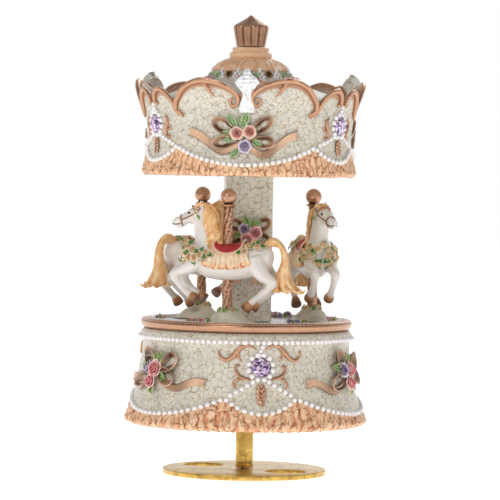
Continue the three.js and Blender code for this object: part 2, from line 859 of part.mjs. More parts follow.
// The spring cage: a cup over the crown wheel, carried by a strap with a leg on each side of the wheel.
function springHousing() {
  const top = springHousingBottom + springHousingHeight;
  const legOuter = movementScrewY + 1.8;
  const legInner = crownPitchRadius + 1 + runningFit;
  const cup = disc(springHousingRadius, springHousingBottom, top, 28);
  const strapFrom = movementScrewX - 3;
  const strapTo = movementScrewX + 3;
  const strapTop = springHousingBottom + 1.2;
  const strap = block(strapFrom, strapTo, -legOuter, legOuter, springHousingBottom, strapTop);
  const legs = [-1, 1].map((side) => {
    const near = side * legInner;
    const far = side * legOuter;
    return block(strapFrom, strapTo, Math.min(near, far), Math.max(near, far), bedTop + fit, strapTop);
  });
  const hollow = disc(
    springHousingRadius - springHousingWall,
    springHousingBottom - 1,
    top - springHousingWall,
    28,
  );
  const arborHole = rod(arborRadius + runningFit, top - 2, top + 1);
  const screwHoles = [-1, 1].map((side) =>
    rod(1 + fit, bedTop, strapTop - 1, movementScrewX, side * movementScrewY, coarse),
  );
  return cut(join(cup, strap, ...legs), hollow, arborHole, ...screwHoles);
}

function movementScrew(side) {
  const head = rod(2, coverBottom - fit - 1, coverBottom - fit);
  const shank = rod(1, coverBottom - fit - 1, springHousingBottom + 0.2 - fit, 0, 0, coarse);
  return join(head, shank).translate(movementScrewX, side * movementScrewY, 0);
}

function mainspring() {
  const inner = arborRadius + 0.9;
  const outer = springHousingRadius - springHousingWall - 0.6;
  const steps = springTurns * 14;
  const at = (i, offset) => {
    const share = i / steps;
    const radius = inner + (outer - inner) * share + offset;
    const angle = share * springTurns * 2 * Math.PI;
    return [radius * Math.cos(angle), radius * Math.sin(angle)];
  };
  const strip = new THREE.Shape();
  strip.moveTo(...at(0, -springThickness / 2));
  for (let i = 1; i <= steps; i += 1) strip.lineTo(...at(i, -springThickness / 2));
  for (let i = steps; i >= 0; i -= 1) strip.lineTo(...at(i, springThickness / 2));
  strip.closePath();
  const height = springHousingHeight - springHousingWall - 2;
  return extruded(strip, height).translate(0, 0, springHousingBottom + 1);
}

function comb() {
  const shape = new THREE.Shape();
  const pitch = drumLength / combTeeth;
  const slot = pitch * 0.35;
  shape.moveTo(drumStart, combBack);
  shape.lineTo(drumStart, combTip);
  for (let i = 1; i < combTeeth; i += 1) {
    const x = drumStart + i * pitch;
    const root = combTip + combReach * (0.95 - (0.35 * i) / combTeeth);
    shape.lineTo(x - slot / 2, combTip);
    shape.lineTo(x - slot / 2, root);
    shape.lineTo(x + slot / 2, root);
    shape.lineTo(x + slot / 2, combTip);
  }
  shape.lineTo(drumEnd, combTip);
  shape.lineTo(drumEnd, combBack);
  shape.closePath();
  const plate = extruded(shape, combThickness).translate(0, 0, combBottom);
  const holes = combScrewXs.map((x) =>
    rod(0.8 + fit, combBottom - 1, combBottom + 2, x, combScrewY, 8),
  );
  return cut(plate, ...holes);
}

function combScrew(x) {
  const seat = combBottom + combThickness + fit;
  const head = rod(1.5, seat, seat + 0.9, x, combScrewY, coarse);
  const shank = rod(0.8, bedTop + 1 + fit, seat + 0.5, x, combScrewY, 8);
  return join(head, shank);
}

function bearingLeft() {
  const plate = block(leftBearingStart, leftBearingEnd, -4, 4, bedTop + fit, cylinderLevel + 3);
  const hole = rodAlongX(cylinderShaftRadius + runningFit, leftBearingStart - 1, leftBearingEnd + 1,
    0, cylinderLevel);
  return cut(plate, hole);
}

const wormBottom = bedTop + 1.6;
const wormTop = cylinderLevel + 4;

// The right-hand bearing plate carries the governor as well, in two arms that hold the worm's pivots.
function governorFrame() {
  const farY = wormY - 2;
  const plate = block(rightBearingStart, rightBearingEnd, farY, 4, bedTop + fit, cylinderLevel + 6);
  const arm = (z) => block(rightBearingEnd - 0.3, wormX + 1.6, wormY - 1.6, wormY + 1.6, z, z + 1);
  const cylinderHole = rodAlongX(cylinderShaftRadius + runningFit, rightBearingStart - 1,
    rightBearingEnd + 1, 0, cylinderLevel);
  const governorHole = rodAlongX(0.6 + runningFit, rightBearingStart - 1, rightBearingEnd + 1,
    governorY, cylinderLevel);
  const wormHole = rod(0.5 + runningFit, bedTop, cylinderLevel + 8, wormX, wormY, coarse);
  const arms = [arm(bedTop + fit), arm(cylinderLevel + 5)];
  return cut(join(plate, ...arms), cylinderHole, governorHole, wormHole);
}

function cylinder() {
  const drum = rodAlongX(drumRadius, drumStart, drumEnd, 0, cylinderLevel, 20);
  const shaft = rodAlongX(
    cylinderShaftRadius,
    crownPitchRadius - 1.3,
    rightBearingEnd + 0.4,
    0,
    cylinderLevel,
    coarse,
  );
  const pinion = extruded(gear(pinionTeeth, pinionRadius, toothAddendum, 0.85, crownPitch * 0.36), 1.6)
    .rotateY(Math.PI / 2)
    .translate(crownPitchRadius - 0.8, 0, cylinderLevel);
  const drive = extruded(gear(driveTeeth, driveRadius, 0.35, 0.55, driveModule * 1.1), gearWidth)
    .rotateY(Math.PI / 2)
    .translate(driveStart, 0, cylinderLevel);
  const pins = [];
  for (let i = 0; i < combTeeth; i += 1) {
    const x = drumStart + (i + 0.5) * (drumLength / combTeeth);
    const pin = block(-0.16, 0.16, -0.16, 0.16, drumRadius - 0.3, drumRadius + pinHeight);
    pins.push(pin.rotateX(i * 2.4).translate(x, 0, cylinderLevel));
  }
  return join(drum, shaft, pinion, drive, ...pins);
}

function governorWheel() {
  const shaftEnd = wormWheelStart + gearWidth + 0.3;
  const shaft = rodAlongX(0.6, driveStart - 0.5, shaftEnd, governorY, cylinderLevel, coarse);
  const phase = Math.PI / 2 + Math.PI / governorTeeth;
  const pinion = extruded(gear(governorTeeth, governorRadius, 0.35, 0.55, driveModule * 1.1, phase), gearWidth)
    .rotateY(Math.PI / 2)
    .translate(driveStart, governorY, cylinderLevel);
  const wheel = extruded(gear(wormWheelTeeth, wormWheelRadius, 0.35, 0.5, 0.55), gearWidth)
    .rotateY(Math.PI / 2)
    .translate(wormWheelStart, governorY, cylinderLevel);
  return join(shaft, pinion, wheel);
}

const fanBottom = cylinderLevel + 6.5;
const fanTop = fanBottom + fanHeight;

function governorFan() {
  const shaft = rod(0.5, wormBottom - 0.8, fanTop, wormX, wormY, coarse);
  const worm = rod(wormRadius, wormBottom + 1, wormTop, wormX, wormY, coarse);
  const blades = block(-fanRadius, fanRadius, -0.3, 0.3, fanBottom, fanTop).translate(wormX, wormY, 0);
  return join(shaft, worm, blades);
}

piece('bedplate', bedplate(), nickel);
piece('spring_housing', springHousing(), nickel);
piece('mainspring', mainspring(), steel);
[-1, 1].forEach((side, i) => piece(`movement_screw_${i + 1}`, movementScrew(side), steel));
piece('comb', comb(), steel);
combScrewXs.forEach((x, i) => piece(`comb_screw_${i + 1}`, combScrew(x), steel));
piece('cylinder_bearing', bearingLeft(), nickel);
piece('governor_frame', governorFrame(), nickel);
piece('pin_cylinder', cylinder(), brass);
piece('governor_wheel', governorWheel(), brass);
piece('governor_fan', governorFan(), brass);

// ---------------------------------------------------------------- start and stop slider

// A red knob hangs below the cover. Its neck slides in the cover's slot, and a wire rises from it and
// reaches the governor fan.
function stopSlider() {
  const [x, y] = polar(sliderRadius, sliderAngle);
  const knob = blob([0, -sliderKnobOffset, coverBottom - sliderKnobDrop + 1.4], [1.9, 1.7, 1.6], coarse, 6);
  const halfWidth = sliderNeckWidth / 2;
  const halfLength = sliderNeckLength / 2;
  const neck = block(-halfWidth, halfWidth, -halfLength, halfLength, coverBottom - 1.4, coverTop + 0.6);
  const foot = block(-2, 2, -sliderKnobOffset - 1, 2, coverBottom - 1.5, coverBottom - 2 * fit);
  const halfFlange = sliderFlangeLength / 2;
  const flange = block(-2.2, 2.2, -halfFlange, halfFlange, coverTop + fit, coverTop + fit + 0.9);
  const tongue = join(knob, neck, foot, flange).rotateZ(degrees(sliderAngle)).translate(x, y, 0);
  const wireLevel = fanBottom + fanHeight / 2;
  const [wireX, wireY] = polar(sliderRadius - 1.2, sliderAngle);
  const post = rod(0.5, coverTop + 2 * fit, wireLevel + 0.4, wireX, wireY, 8);
  const hookEnd = [wormX - 1.5, wormY - fanRadius - sliderTravel - fit, wireLevel];
  const hook = limb([wireX, wireY, wireLevel], hookEnd, 0.4, 0.4, 6);
  return join(tongue, post, hook);
}

piece('stop_slider', stopSlider(), redKnob);

export default carousel;
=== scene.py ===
# Carousel music box, about 180 mm tall: a resin merry-go-round on a brass winding stand.
# Everything is shaped in millimetres and made into metres when a piece is finished.
# Angles round the carousel are measured from the front, -Y, and grow towards +X.

import math
import random

import bmesh
import bpy
import numpy as np
from mathutils import Matrix, Vector, noise


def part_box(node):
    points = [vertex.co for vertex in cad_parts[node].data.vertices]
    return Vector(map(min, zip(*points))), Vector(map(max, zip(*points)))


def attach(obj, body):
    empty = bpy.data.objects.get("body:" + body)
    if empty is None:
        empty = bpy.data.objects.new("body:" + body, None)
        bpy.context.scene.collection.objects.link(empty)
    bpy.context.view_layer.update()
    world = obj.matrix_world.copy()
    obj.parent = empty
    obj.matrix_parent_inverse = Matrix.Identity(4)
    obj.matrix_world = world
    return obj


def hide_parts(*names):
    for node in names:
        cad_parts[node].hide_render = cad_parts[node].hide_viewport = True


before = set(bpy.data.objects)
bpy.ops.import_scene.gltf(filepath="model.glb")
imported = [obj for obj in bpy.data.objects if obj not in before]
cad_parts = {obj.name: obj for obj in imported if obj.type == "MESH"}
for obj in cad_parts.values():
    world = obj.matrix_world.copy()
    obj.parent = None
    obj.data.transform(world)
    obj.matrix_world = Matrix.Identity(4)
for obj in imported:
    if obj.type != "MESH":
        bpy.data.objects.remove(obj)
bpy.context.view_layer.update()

# ------------------------------------------------------------------------------------------------
# Studio: a plain pale floor, soft light from large lamps, and the camera.

MM = 0.001


def sweep_of_paper():
    """A wide sheet of pale paper under the stand, with its far edge out of sight."""
    bm = bmesh.new()
    bmesh.ops.create_grid(bm, x_segments=8, y_segments=8, size=3.0)
    bmesh.ops.translate(bm, verts=bm.verts, vec=(0, 0, -0.0002))
    shape = bpy.data.meshes.new("studio_floor")
    bm.to_mesh(shape)
    bm.free()
    paper = bpy.data.materials.new("pale_paper")
    paper.use_nodes = True
    shader = paper.node_tree.nodes["Principled BSDF"]
    shader.inputs["Base Color"].default_value = (0.93, 0.93, 0.93, 1)
    shader.inputs["Roughness"].default_value = 0.9
    shader.inputs["Emission Color"].default_value = (1, 1, 1, 1)
    shader.inputs["Emission Strength"].default_value = 0.8
    shape.materials.append(paper)
    floor = bpy.data.objects.new("studio_floor", shape)
    bpy.context.scene.collection.objects.link(floor)
    return floor


sweep_of_paper()


def softbox(name, place, aim, width, power):
    lamp = bpy.data.lights.new(name, "AREA")
    lamp.shape = "DISK"
    lamp.size = width
    lamp.energy = power
    holder = bpy.data.objects.new(name, lamp)
    holder.location = place
    holder.rotation_euler = (Vector(aim) - Vector(place)).to_track_quat("-Z", "Y").to_euler()
    bpy.context.scene.collection.objects.link(holder)


middle = (0, 0, 0.095)
softbox("key_light", (-0.45, -0.85, 0.62), middle, 0.45, 3.4)
softbox("fill_light", (0.75, -0.7, 0.35), middle, 0.7, 1.1)
softbox("back_light", (0.25, 0.8, 0.65), middle, 0.6, 1.8)

# The wall behind is white up to eye level. The room is dimmer above it and on the near side.
room = bpy.data.worlds.new("white_studio")
room.use_nodes = True
room_nodes, room_links = room.node_tree.nodes, room.node_tree.links
direction = room_nodes.new("ShaderNodeSeparateXYZ")
room_links.new(room_nodes.new("ShaderNodeTexCoord").outputs["Generated"], direction.inputs[0])
shade = room_nodes.new("ShaderNodeMapRange")
room_links.new(direction.outputs["Z"], shade.inputs["Value"])
shade.inputs["From Min"].default_value = 0.22
shade.inputs["From Max"].default_value = 0.4
shade.inputs["To Min"].default_value = 1.0
shade.inputs["To Max"].default_value = 0.45
near_side = room_nodes.new("ShaderNodeMapRange")
room_links.new(direction.outputs["Y"], near_side.inputs["Value"])
near_side.inputs["From Min"].default_value = -0.3
near_side.inputs["From Max"].default_value = 0.3
near_side.inputs["To Min"].default_value = 0.35
near_side.inputs["To Max"].default_value = 1.0
both = room_nodes.new("ShaderNodeMath")
both.operation = "MULTIPLY"
room_links.new(shade.outputs[0], both.inputs[0])
room_links.new(near_side.outputs[0], both.inputs[1])
room_links.new(both.outputs[0], room_nodes["Background"].inputs["Strength"])
room_nodes["Background"].inputs["Color"].default_value = (1, 1, 1, 1)
bpy.context.scene.world = room
bpy.context.scene.view_settings.view_transform = "Standard"

lens = bpy.data.cameras.new("studio_camera")
lens.sensor_width = 36
lens.lens = 239.4
lens.clip_end = 20
camera = bpy.data.objects.new("studio_camera", lens)
camera.location = (0.00095, -1.307, 0.128)
look = (Vector((0.00095, 0, 0.0879)) - camera.location).to_track_quat("-Z", "Y")
camera.rotation_euler = (look.to_matrix() @ Matrix.Rotation(math.radians(0.93), 3, "Z")).to_euler()
bpy.context.scene.collection.objects.link(camera)
bpy.context.scene.camera = camera

# ------------------------------------------------------------------------------------------------
# Stand: a 2 mm brass plate with two finger holes, turned by hand to wind the spring, and the brass
# post that screws into it. Both are polished and lacquered, with rounded edges.


def pen(red, green, blue):
    """A paint colour from its three 0-255 numbers, as linear light."""
    shades = [c / 255 for c in (red, green, blue)]
    return tuple(s / 12.92 if s <= 0.04045 else ((s + 0.055) / 1.055) ** 2.4 for s in shades) + (1,)


def wire(tree, kind, sockets=None, **settings):
    """Adds a node. Each socket takes a plain value or another node's output."""
    node = tree.nodes.new(kind)
    for name, value in settings.items():
        setattr(node, name, value)
    for name, value in (sockets or {}).items():
        if isinstance(value, bpy.types.NodeSocket):
            tree.links.new(value, node.inputs[name])
        else:
            node.inputs[name].default_value = value
    return node


def ramp(tree, amount, *stops):
    """A colour ramp: each stop is its place and its colour."""
    node = wire(tree, "ShaderNodeValToRGB", {"Fac": amount})
    while len(node.color_ramp.elements) < len(stops):
        node.color_ramp.elements.new(0.5)
    for element, (place, colour) in zip(node.color_ramp.elements, stops):
        element.position = place
        element.color = colour if len(colour) == 4 else (*colour, 1)
    return node.outputs["Color"]


def blend(tree, amount, first, second):
    node = wire(tree, "ShaderNodeMix", data_type="RGBA")
    for socket, value in ((node.inputs[0], amount), (node.inputs[6], first), (node.inputs[7], second)):
        if isinstance(value, bpy.types.NodeSocket):
            tree.links.new(value, socket)
        else:
            socket.default_value = value
    return node.outputs[2]


def sums(tree, operation, first, second=0.0):
    return wire(tree, "ShaderNodeMath", {0: first, 1: second}, operation=operation).outputs[0]


def new_finish(name, roughness, metallic=0.0, coat=0.0, specular=0.5):
    """An empty finish: its material, its node tree, its shader and its place in millimetres."""
    finish = bpy.data.materials.new(name)
    finish.use_nodes = True
    tree = finish.node_tree
    shader = tree.nodes["Principled BSDF"]
    shader.inputs["Roughness"].default_value = roughness
    shader.inputs["Metallic"].default_value = metallic
    shader.inputs["Coat Weight"].default_value = coat
    shader.inputs["Coat Roughness"].default_value = 0.15
    shader.inputs["Specular IOR Level"].default_value = specular
    place = wire(tree, "ShaderNodeTexCoord").outputs["Object"]
    place = wire(tree, "ShaderNodeVectorMath", {0: place, 3: 1000.0}, operation="SCALE").outputs[0]
    return finish, tree, shader, place


def grain(tree, place, scale, detail=3.0):
    sockets = {"Vector": place, "Scale": scale, "Detail": detail, "Roughness": 0.55}
    return wire(tree, "ShaderNodeTexNoise", sockets)


def emboss(tree, shader, height, depth, distance=0.0003):
    sockets = {"Height": height, "Strength": depth, "Distance": distance}
    tree.links.new(wire(tree, "ShaderNodeBump", sockets).outputs[0], shader.inputs["Normal"])


def metal_finish(name, light, dark, roughness, metallic=1.0, relief_shading=0.35, streak=0.5):
    """Metal, or metallic paint, with soft clouding, fine scratches, a darker tone in its hollows and a
    lighter one on its ridges: a painted shade and a painted highlight, which on the antiqued paints also
    stand for their dark wash in the hollows.
    """
    finish, tree, shader, place = new_finish(name, roughness, metallic)
    clouds = grain(tree, place, 0.35).outputs["Fac"]
    fine = grain(tree, place, 4.0, 4).outputs["Fac"]
    tone = sums(tree, "ADD", sums(tree, "MULTIPLY", clouds, 0.65), sums(tree, "MULTIPLY", fine, 0.35))
    # Pointiness paints the hollows darker and the ridges lighter: painted shade and painted highlight.
    ridge = wire(tree, "ShaderNodeNewGeometry").outputs["Pointiness"]
    edge = wire(tree, "ShaderNodeMapRange", {0: ridge, 1: 0.44, 2: 0.56}).outputs[0]
    tone = sums(tree, "ADD", sums(tree, "MULTIPLY", tone, 1 - relief_shading), sums(tree, "MULTIPLY", edge, relief_shading))
    colour = ramp(tree, tone, (0.3, dark), (0.66, light))
    tree.links.new(colour, shader.inputs["Base Color"])
    rough = wire(tree, "ShaderNodeMapRange", {0: fine, 3: roughness * 0.75, 4: roughness * 1.3})
    tree.links.new(rough.outputs[0], shader.inputs["Roughness"])
    emboss(tree, shader, fine, streak * 0.35, 0.0002)
    return finish


def place_piece(name, bm, finish, body, stands_for=(), crease=50):
    """Makes a shape in millimetres into a finished piece that moves with its body."""
    bmesh.ops.scale(bm, vec=(MM, MM, MM), verts=bm.verts)
    shape = bpy.data.meshes.new(name)
    bm.to_mesh(shape)
    bm.free()
    shape.shade_smooth()
    shape.set_sharp_from_angle(angle=math.radians(crease))
    shape.materials.append(finish)
    piece = bpy.data.objects.new(name, shape)
    bpy.context.scene.collection.objects.link(piece)
    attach(piece, body)
    if stands_for:
        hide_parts(*stands_for)
    return piece


def spun(bm, outline, steps, closed=True):
    """Spins an outline of (radius, height) points into a turned shape, welded on its axis."""
    points = [bm.verts.new((r, 0, z)) for r, z in outline]
    edges = [bm.edges.new(pair) for pair in zip(points, points[1:])]
    if closed:
        edges.append(bm.edges.new((points[-1], points[0])))
    bmesh.ops.spin(
        bm, geom=points + edges, cent=(0, 0, 0), axis=(0, 0, 1), dvec=(0, 0, 0),
        angle=math.tau, steps=steps, use_merge=True,
    )
    bmesh.ops.remove_doubles(bm, verts=bm.verts, dist=0.0005)
    bmesh.ops.recalc_face_normals(bm, faces=bm.faces)


def node_box(node):
    """A CAD node's lowest and highest corners, in millimetres."""
    low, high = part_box(node)
    return low / MM, high / MM


def flat_plate(name, rings, bottom, top, edge):
    """A plate cut from circles (x, y, radius) and given a rounded edge."""
    curve = bpy.data.curves.new(name, "CURVE")
    curve.dimensions = "2D"
    curve.fill_mode = "BOTH"
    curve.extrude = (top - bottom) / 2 - edge
    curve.bevel_depth = edge
    curve.bevel_resolution = 2
    curve.offset = -edge
    for x, y, radius in rings:
        count = 96 if radius > 20 else 48
        line = curve.splines.new("POLY")
        line.points.add(count - 1)
        line.use_cyclic_u = True
        for i, point in enumerate(line.points):
            turn = math.tau * i / count
            point.co = (x + radius * math.cos(turn), y + radius * math.sin(turn), 0, 1)
    cut_out = bpy.data.objects.new(name, curve)
    shape = bpy.data.meshes.new_from_object(cut_out)
    bm = bmesh.new()
    bm.from_mesh(shape)
    bpy.data.objects.remove(cut_out)
    bpy.data.meshes.remove(shape)
    bmesh.ops.remove_doubles(bm, verts=bm.verts, dist=0.001)
    bmesh.ops.translate(bm, verts=bm.verts, vec=(0, 0, (bottom + top) / 2))
    bmesh.ops.recalc_face_normals(bm, faces=bm.faces)
    return bm


polished_brass = metal_finish("polished_brass", pen(238, 200, 112), pen(124, 84, 30), 0.22, 1.0, 0.15, 1.6)

plate_low, plate_high = node_box("stand_plate")
plate_radius = plate_high.x
finger_hole = (16.2, -12.2, 8.0)
stand_rings = [(0, 0, plate_radius), finger_hole, (-finger_hole[0], -finger_hole[1], finger_hole[2])]
stand_plate = flat_plate("stand_plate_brass", stand_rings, plate_low.z, plate_high.z, 0.35)
place_piece("stand_plate_brass", stand_plate, polished_brass, "stand", ["stand_plate"])

post_low, post_high = node_box("stand_post")
post_radius = post_high.x
post = bmesh.new()
spun(post, [
    (0, post_low.z), (post_radius - 0.4, post_low.z), (post_radius, post_low.z + 0.4),
    (post_radius, post_low.z + 1.6), (post_radius - 0.25, post_low.z + 1.8),
    (post_radius - 0.25, post_low.z + 2.2), (post_radius, post_low.z + 2.4),
    (post_radius, post_high.z - 0.5), (post_radius - 0.5, post_high.z), (0, post_high.z),
], 64, closed=False)
place_piece("stand_post_brass", post, polished_brass, "stand", ["stand_post"])

# ------------------------------------------------------------------------------------------------
# Movement: stamped steel, brass wheels and a nickel-plated bed, screwed to the cover inside the base.
# The bottom cover is moulded in cream resin, and the stop slider ends in a small red knob.

bright_steel = metal_finish("bright_steel", pen(205, 207, 210), pen(120, 122, 128), 0.28, 1.0, 0.2)
nickel_plate = metal_finish("nickel_plate", pen(214, 210, 200), pen(140, 136, 128), 0.24, 1.0, 0.2)


def plain_resin(name, light, dark, roughness):
    """Cast resin: a soft sheen with faint clouding and a fine tooth."""
    finish, tree, shader, place = new_finish(name, roughness, coat=0.15)
    clouds = grain(tree, place, 0.25).outputs["Fac"]
    tree.links.new(ramp(tree, clouds, (0.3, dark), (0.7, light)), shader.inputs["Base Color"])
    emboss(tree, shader, grain(tree, place, 3.0, 4).outputs["Fac"], 0.15)
    return finish


cover_resin = plain_resin("cover_resin", pen(226, 222, 206), pen(205, 200, 180), 0.5)
red_knob = plain_resin("red_knob", pen(150, 24, 34), pen(105, 14, 22), 0.35)
recoats = {
    polished_brass: ["main_wheel", "pin_cylinder", "governor_wheel", "spring_housing"],
    bright_steel: [
        "plate_screw", "winding_arbor", "mainspring", "comb", "comb_screw_1", "comb_screw_2",
        "movement_screw_1", "movement_screw_2", "cover_screw_1", "cover_screw_2", "cover_screw_3",
    ],
    nickel_plate: ["bedplate", "cylinder_bearing", "governor_frame"],
    red_knob: ["stop_slider", "governor_fan"],
    cover_resin: ["bottom_cover", "canopy_floor"],
}
for finish, nodes in recoats.items():
    for node in nodes:
        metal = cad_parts[node].data.materials
        metal.clear()
        metal.append(finish)

# ------------------------------------------------------------------------------------------------
# Base casing: one resin casting. A smooth crackle-glazed wall ends in a scalloped hem, and a pleated
# peach ruffle puffs out from under it. The hem has 18 degrees of small scallop on each side of a gem.

base_low, base_high = node_box("base_casing")
BASE_FOOT = base_low.z
BASE_HEIGHT = base_high.z - base_low.z
SKIRT = base_high.x
WALL_ROUND = 42.0
GEM_TURN = 8.0

base_levels = [0, 0.6, 1.6, 2.4, 3.6, 5.3, 7.8, 12.3, 18.3, 23.3, 27.8, 32.3, 33.9, 35.1, 36.2, BASE_HEIGHT]
base_insets = [2.2, 0.9, 0.15, 0.15, 0.7, 1.6, 2.3, 3.8, 4.8, 5.8, 6.6, 6.7, 6.2, 5.6, 6.1, 7.1]


def base_wall(height):
    """Outer radius of the base, by the height above the skirt's hem."""
    return SKIRT - float(np.interp(height, base_levels, base_insets))


def scallop(away, joint, small_low, big_low, top):
    """Height of a scalloped edge: one small scallop round each stone and one long one between."""
    away = abs((away + 60) % 120 - 60)
    if away < joint:
        return small_low + (top - small_low) * (away / joint) ** 2
    return big_low + (top - big_low) * ((60 - away) / (60 - joint)) ** 2


def base_hem(angle):
    return scallop(angle - GEM_TURN, 18.3, 6.8, 5.5, 12.5)


def angle_of(point):
    return math.degrees(math.atan2(point.x, -point.y))


def ruffled(bm, foot, hem, pleats, depth, puff, top, outside):
    """Pleats the cloth part of a wall below its hem, and stores how far each point is in the cloth and how
    deep it lies in a crease between pleats, for a painted shade there.
    """
    cloth = bm.verts.layers.float.new("cloth")
    fold_shade_and_mottle = bm.verts.layers.float.new("fold_shade_and_mottle")
    for v in bm.verts:
        radius = math.hypot(v.co.x, v.co.y)
        height = v.co.z - foot
        if height > top or radius < outside(height):
            continue
        angle = angle_of(v.co)
        under = hem(angle) - height
        v[cloth] = min(max(under / 0.5 + 0.5, 0), 1)
        if under < -0.6:
            continue
        reach = min(max((under + 0.6) / 3.2, 0), 1)
        wander = noise.noise((v.co.x * 0.16, v.co.y * 0.16, v.co.z * 0.22))
        wander += 0.45 * noise.noise((v.co.x * 0.5, v.co.y * 0.5, v.co.z * 0.35 + 9))
        phase = math.radians(angle) * pleats / 2 + 2.3 * wander
        pleat = abs(math.sin(phase)) ** 0.75
        crumple = noise.noise((v.co.x * 0.9, v.co.y * 0.9, v.co.z * 0.55))
        # The deeper a point sits between pleats, the more painted shade it gets.
        v[fold_shade_and_mottle] = reach * min(max(1.15 - pleat * 1.35 - crumple * 0.5, 0), 1)
        bulge = puff * math.sin(min(under / 6, 1) * math.pi)
        shift = reach * (bulge + depth * (pleat - 0.62) + 0.22 * crumple)
        v.co.x *= 1 + shift / radius
        v.co.y *= 1 + shift / radius
        if height < 1.6:
            v.co.z += (0.5 * pleat - 0.25 + 0.2 * crumple) * (1 - height / 1.6)


def crackle_glaze(name, cell=2.3, stained=0.9):
    """Cream crackle glaze over resin, turning below the hem to peach cloth folds with stain runs and a
    painted shade in the creases between the folds.
    """
    finish, tree, shader, place = new_finish(name, 0.42, coat=0.25, specular=0.4)
    cloth = wire(tree, "ShaderNodeAttribute", attribute_name="cloth").outputs["Fac"]
    fold_shade_and_mottle = wire(tree, "ShaderNodeAttribute", attribute_name="fold_shade_and_mottle").outputs["Fac"]
    warp = grain(tree, place, 0.85, 1.0).outputs["Color"]
    warp = wire(tree, "ShaderNodeVectorMath", {0: warp, 1: (0.5, 0.5, 0.5)}, operation="SUBTRACT").outputs[0]
    warp = wire(tree, "ShaderNodeVectorMath", {0: warp, 3: 1.9}, operation="SCALE").outputs[0]
    warped = wire(tree, "ShaderNodeVectorMath", {0: place, 1: warp}, operation="ADD").outputs[0]
    cracks = wire(
        tree, "ShaderNodeTexVoronoi", {"Vector": warped, "Scale": 1 / cell}, feature="DISTANCE_TO_EDGE"
    ).outputs["Distance"]
    broken = grain(tree, place, 0.6, 2.0).outputs["Fac"]
    gap = wire(tree, "ShaderNodeMapRange", {0: broken, 1: 0.62, 2: 0.64, 3: 0.0, 4: 0.1}).outputs[0]
    edge = sums(tree, "ADD", cracks, gap)
    line = wire(tree, "ShaderNodeMapRange", {0: edge, 1: 0.018, 2: 0.04, 3: 1.0, 4: 0.0}).outputs[0]
    halo = wire(tree, "ShaderNodeMapRange", {0: edge, 1: 0.02, 2: 0.1, 3: 1.0, 4: 0.0}).outputs[0]
    clouds = grain(tree, place, 0.16, 3.0).outputs["Fac"]
    cream = ramp(
        tree, clouds, (0.3, pen(204, 200, 188)), (0.55, pen(220, 213, 197)), (0.75, pen(212, 211, 204))
    )
    cream = blend(tree, sums(tree, "MULTIPLY", halo, 0.28), cream, pen(208, 190, 140))
    cream = blend(tree, sums(tree, "MULTIPLY", line, 0.8), cream, pen(142, 114, 66))
    gilt = wire(tree, "ShaderNodeAttribute", attribute_name="gilt").outputs["Fac"]
    cream = blend(tree, gilt, cream, pen(186, 140, 108))
    peach = ramp(tree, clouds, (0.3, pen(246, 208, 168)), (0.7, pen(238, 192, 150)))
    # Painted shade: darker orange in the creases between the pleats.
    peach = blend(tree, sums(tree, "MULTIPLY", fold_shade_and_mottle, 0.75), peach, pen(208, 112, 50))
    drawn_out = wire(
        tree, "ShaderNodeVectorMath", {0: warped, 1: (0.8, 0.8, 0.42)}, operation="MULTIPLY"
    ).outputs[0]
    runs = wire(
        tree, "ShaderNodeTexVoronoi", {"Vector": drawn_out, "Scale": 1 / cell}, feature="DISTANCE_TO_EDGE"
    ).outputs["Distance"]
    stain = wire(tree, "ShaderNodeMapRange", {0: runs, 1: 0.015, 2: 0.06, 3: stained, 4: 0.0}).outputs[0]
    peach = blend(tree, stain, peach, pen(134, 60, 24))
    tree.links.new(blend(tree, cloth, cream, peach), shader.inputs["Base Color"])
    tooth = grain(tree, place, 1.4, 3.0).outputs["Fac"]
    height = sums(tree, "SUBTRACT", tooth, sums(tree, "MULTIPLY", line, 0.7))
    emboss(tree, shader, height, 0.35, 0.0004)
    return finish


def steps_up(low, high, count):
    return [low + (high - low) * i / count for i in range(count + 1)]


base_glaze = crackle_glaze("base_crackle_glaze")
recess = base_low.z + 5.6
cavity = SKIRT - 9.9
shell = bmesh.new()
rows = steps_up(0, 14, 26) + steps_up(14.8, BASE_HEIGHT, 24)
outline = [(base_wall(h), BASE_FOOT + h) for h in rows]
brim = BASE_FOOT + BASE_HEIGHT
outline += [(0, brim), (0, brim - 2), (cavity, brim - 2)]
outline += [(cavity, recess), (SKIRT - 6.6, recess), (SKIRT - 6.6, BASE_FOOT + 0.8), (SKIRT - 4.6, BASE_FOOT)]
spun(shell, outline, 600)
ruffled(shell, BASE_FOOT, base_hem, 78, 1.15, 0.35, 15, lambda height: SKIRT - 4.4 - 0.07 * height)
place_piece("base_shell", shell, base_glaze, "carousel", ["base_casing"], crease=75)

# ------------------------------------------------------------------------------------------------
# Pearl trim on the base: glass pearls set in the resin, in a string round the lip, a border along the
# scalloped hem, and strands that rise to each stone and hang from the lip above it.


def pearl_lustre(name):
    """Bead pearl: warm white with a faint pink and blue cloud, under a bright coat."""
    finish, tree, shader, place = new_finish(name, 0.28, coat=0.8)
    clouds = grain(tree, place, 1.1, 1.0).outputs["Fac"]
    tone = ramp(tree, clouds, (0.3, pen(236, 228, 240)), (0.5, pen(250, 248, 244)), (0.7, pen(240, 232, 226)))
    tree.links.new(tone, shader.inputs["Base Color"])
    emboss(tree, shader, grain(tree, place, 3.0, 2).outputs["Fac"], 0.06)
    return finish


def evenly(points, spacing):
    """Points at an even spacing along a path of (x, z) points."""
    path = np.array(points, float)
    steps = np.hypot(*np.diff(path, axis=0).T)
    along = np.concatenate(([0], np.cumsum(steps)))
    count = max(int(round(along[-1] / spacing)), 1)
    stops = np.linspace(0, along[-1], count + 1)
    return list(zip(np.interp(stops, along, path[:, 0]), np.interp(stops, along, path[:, 1])))


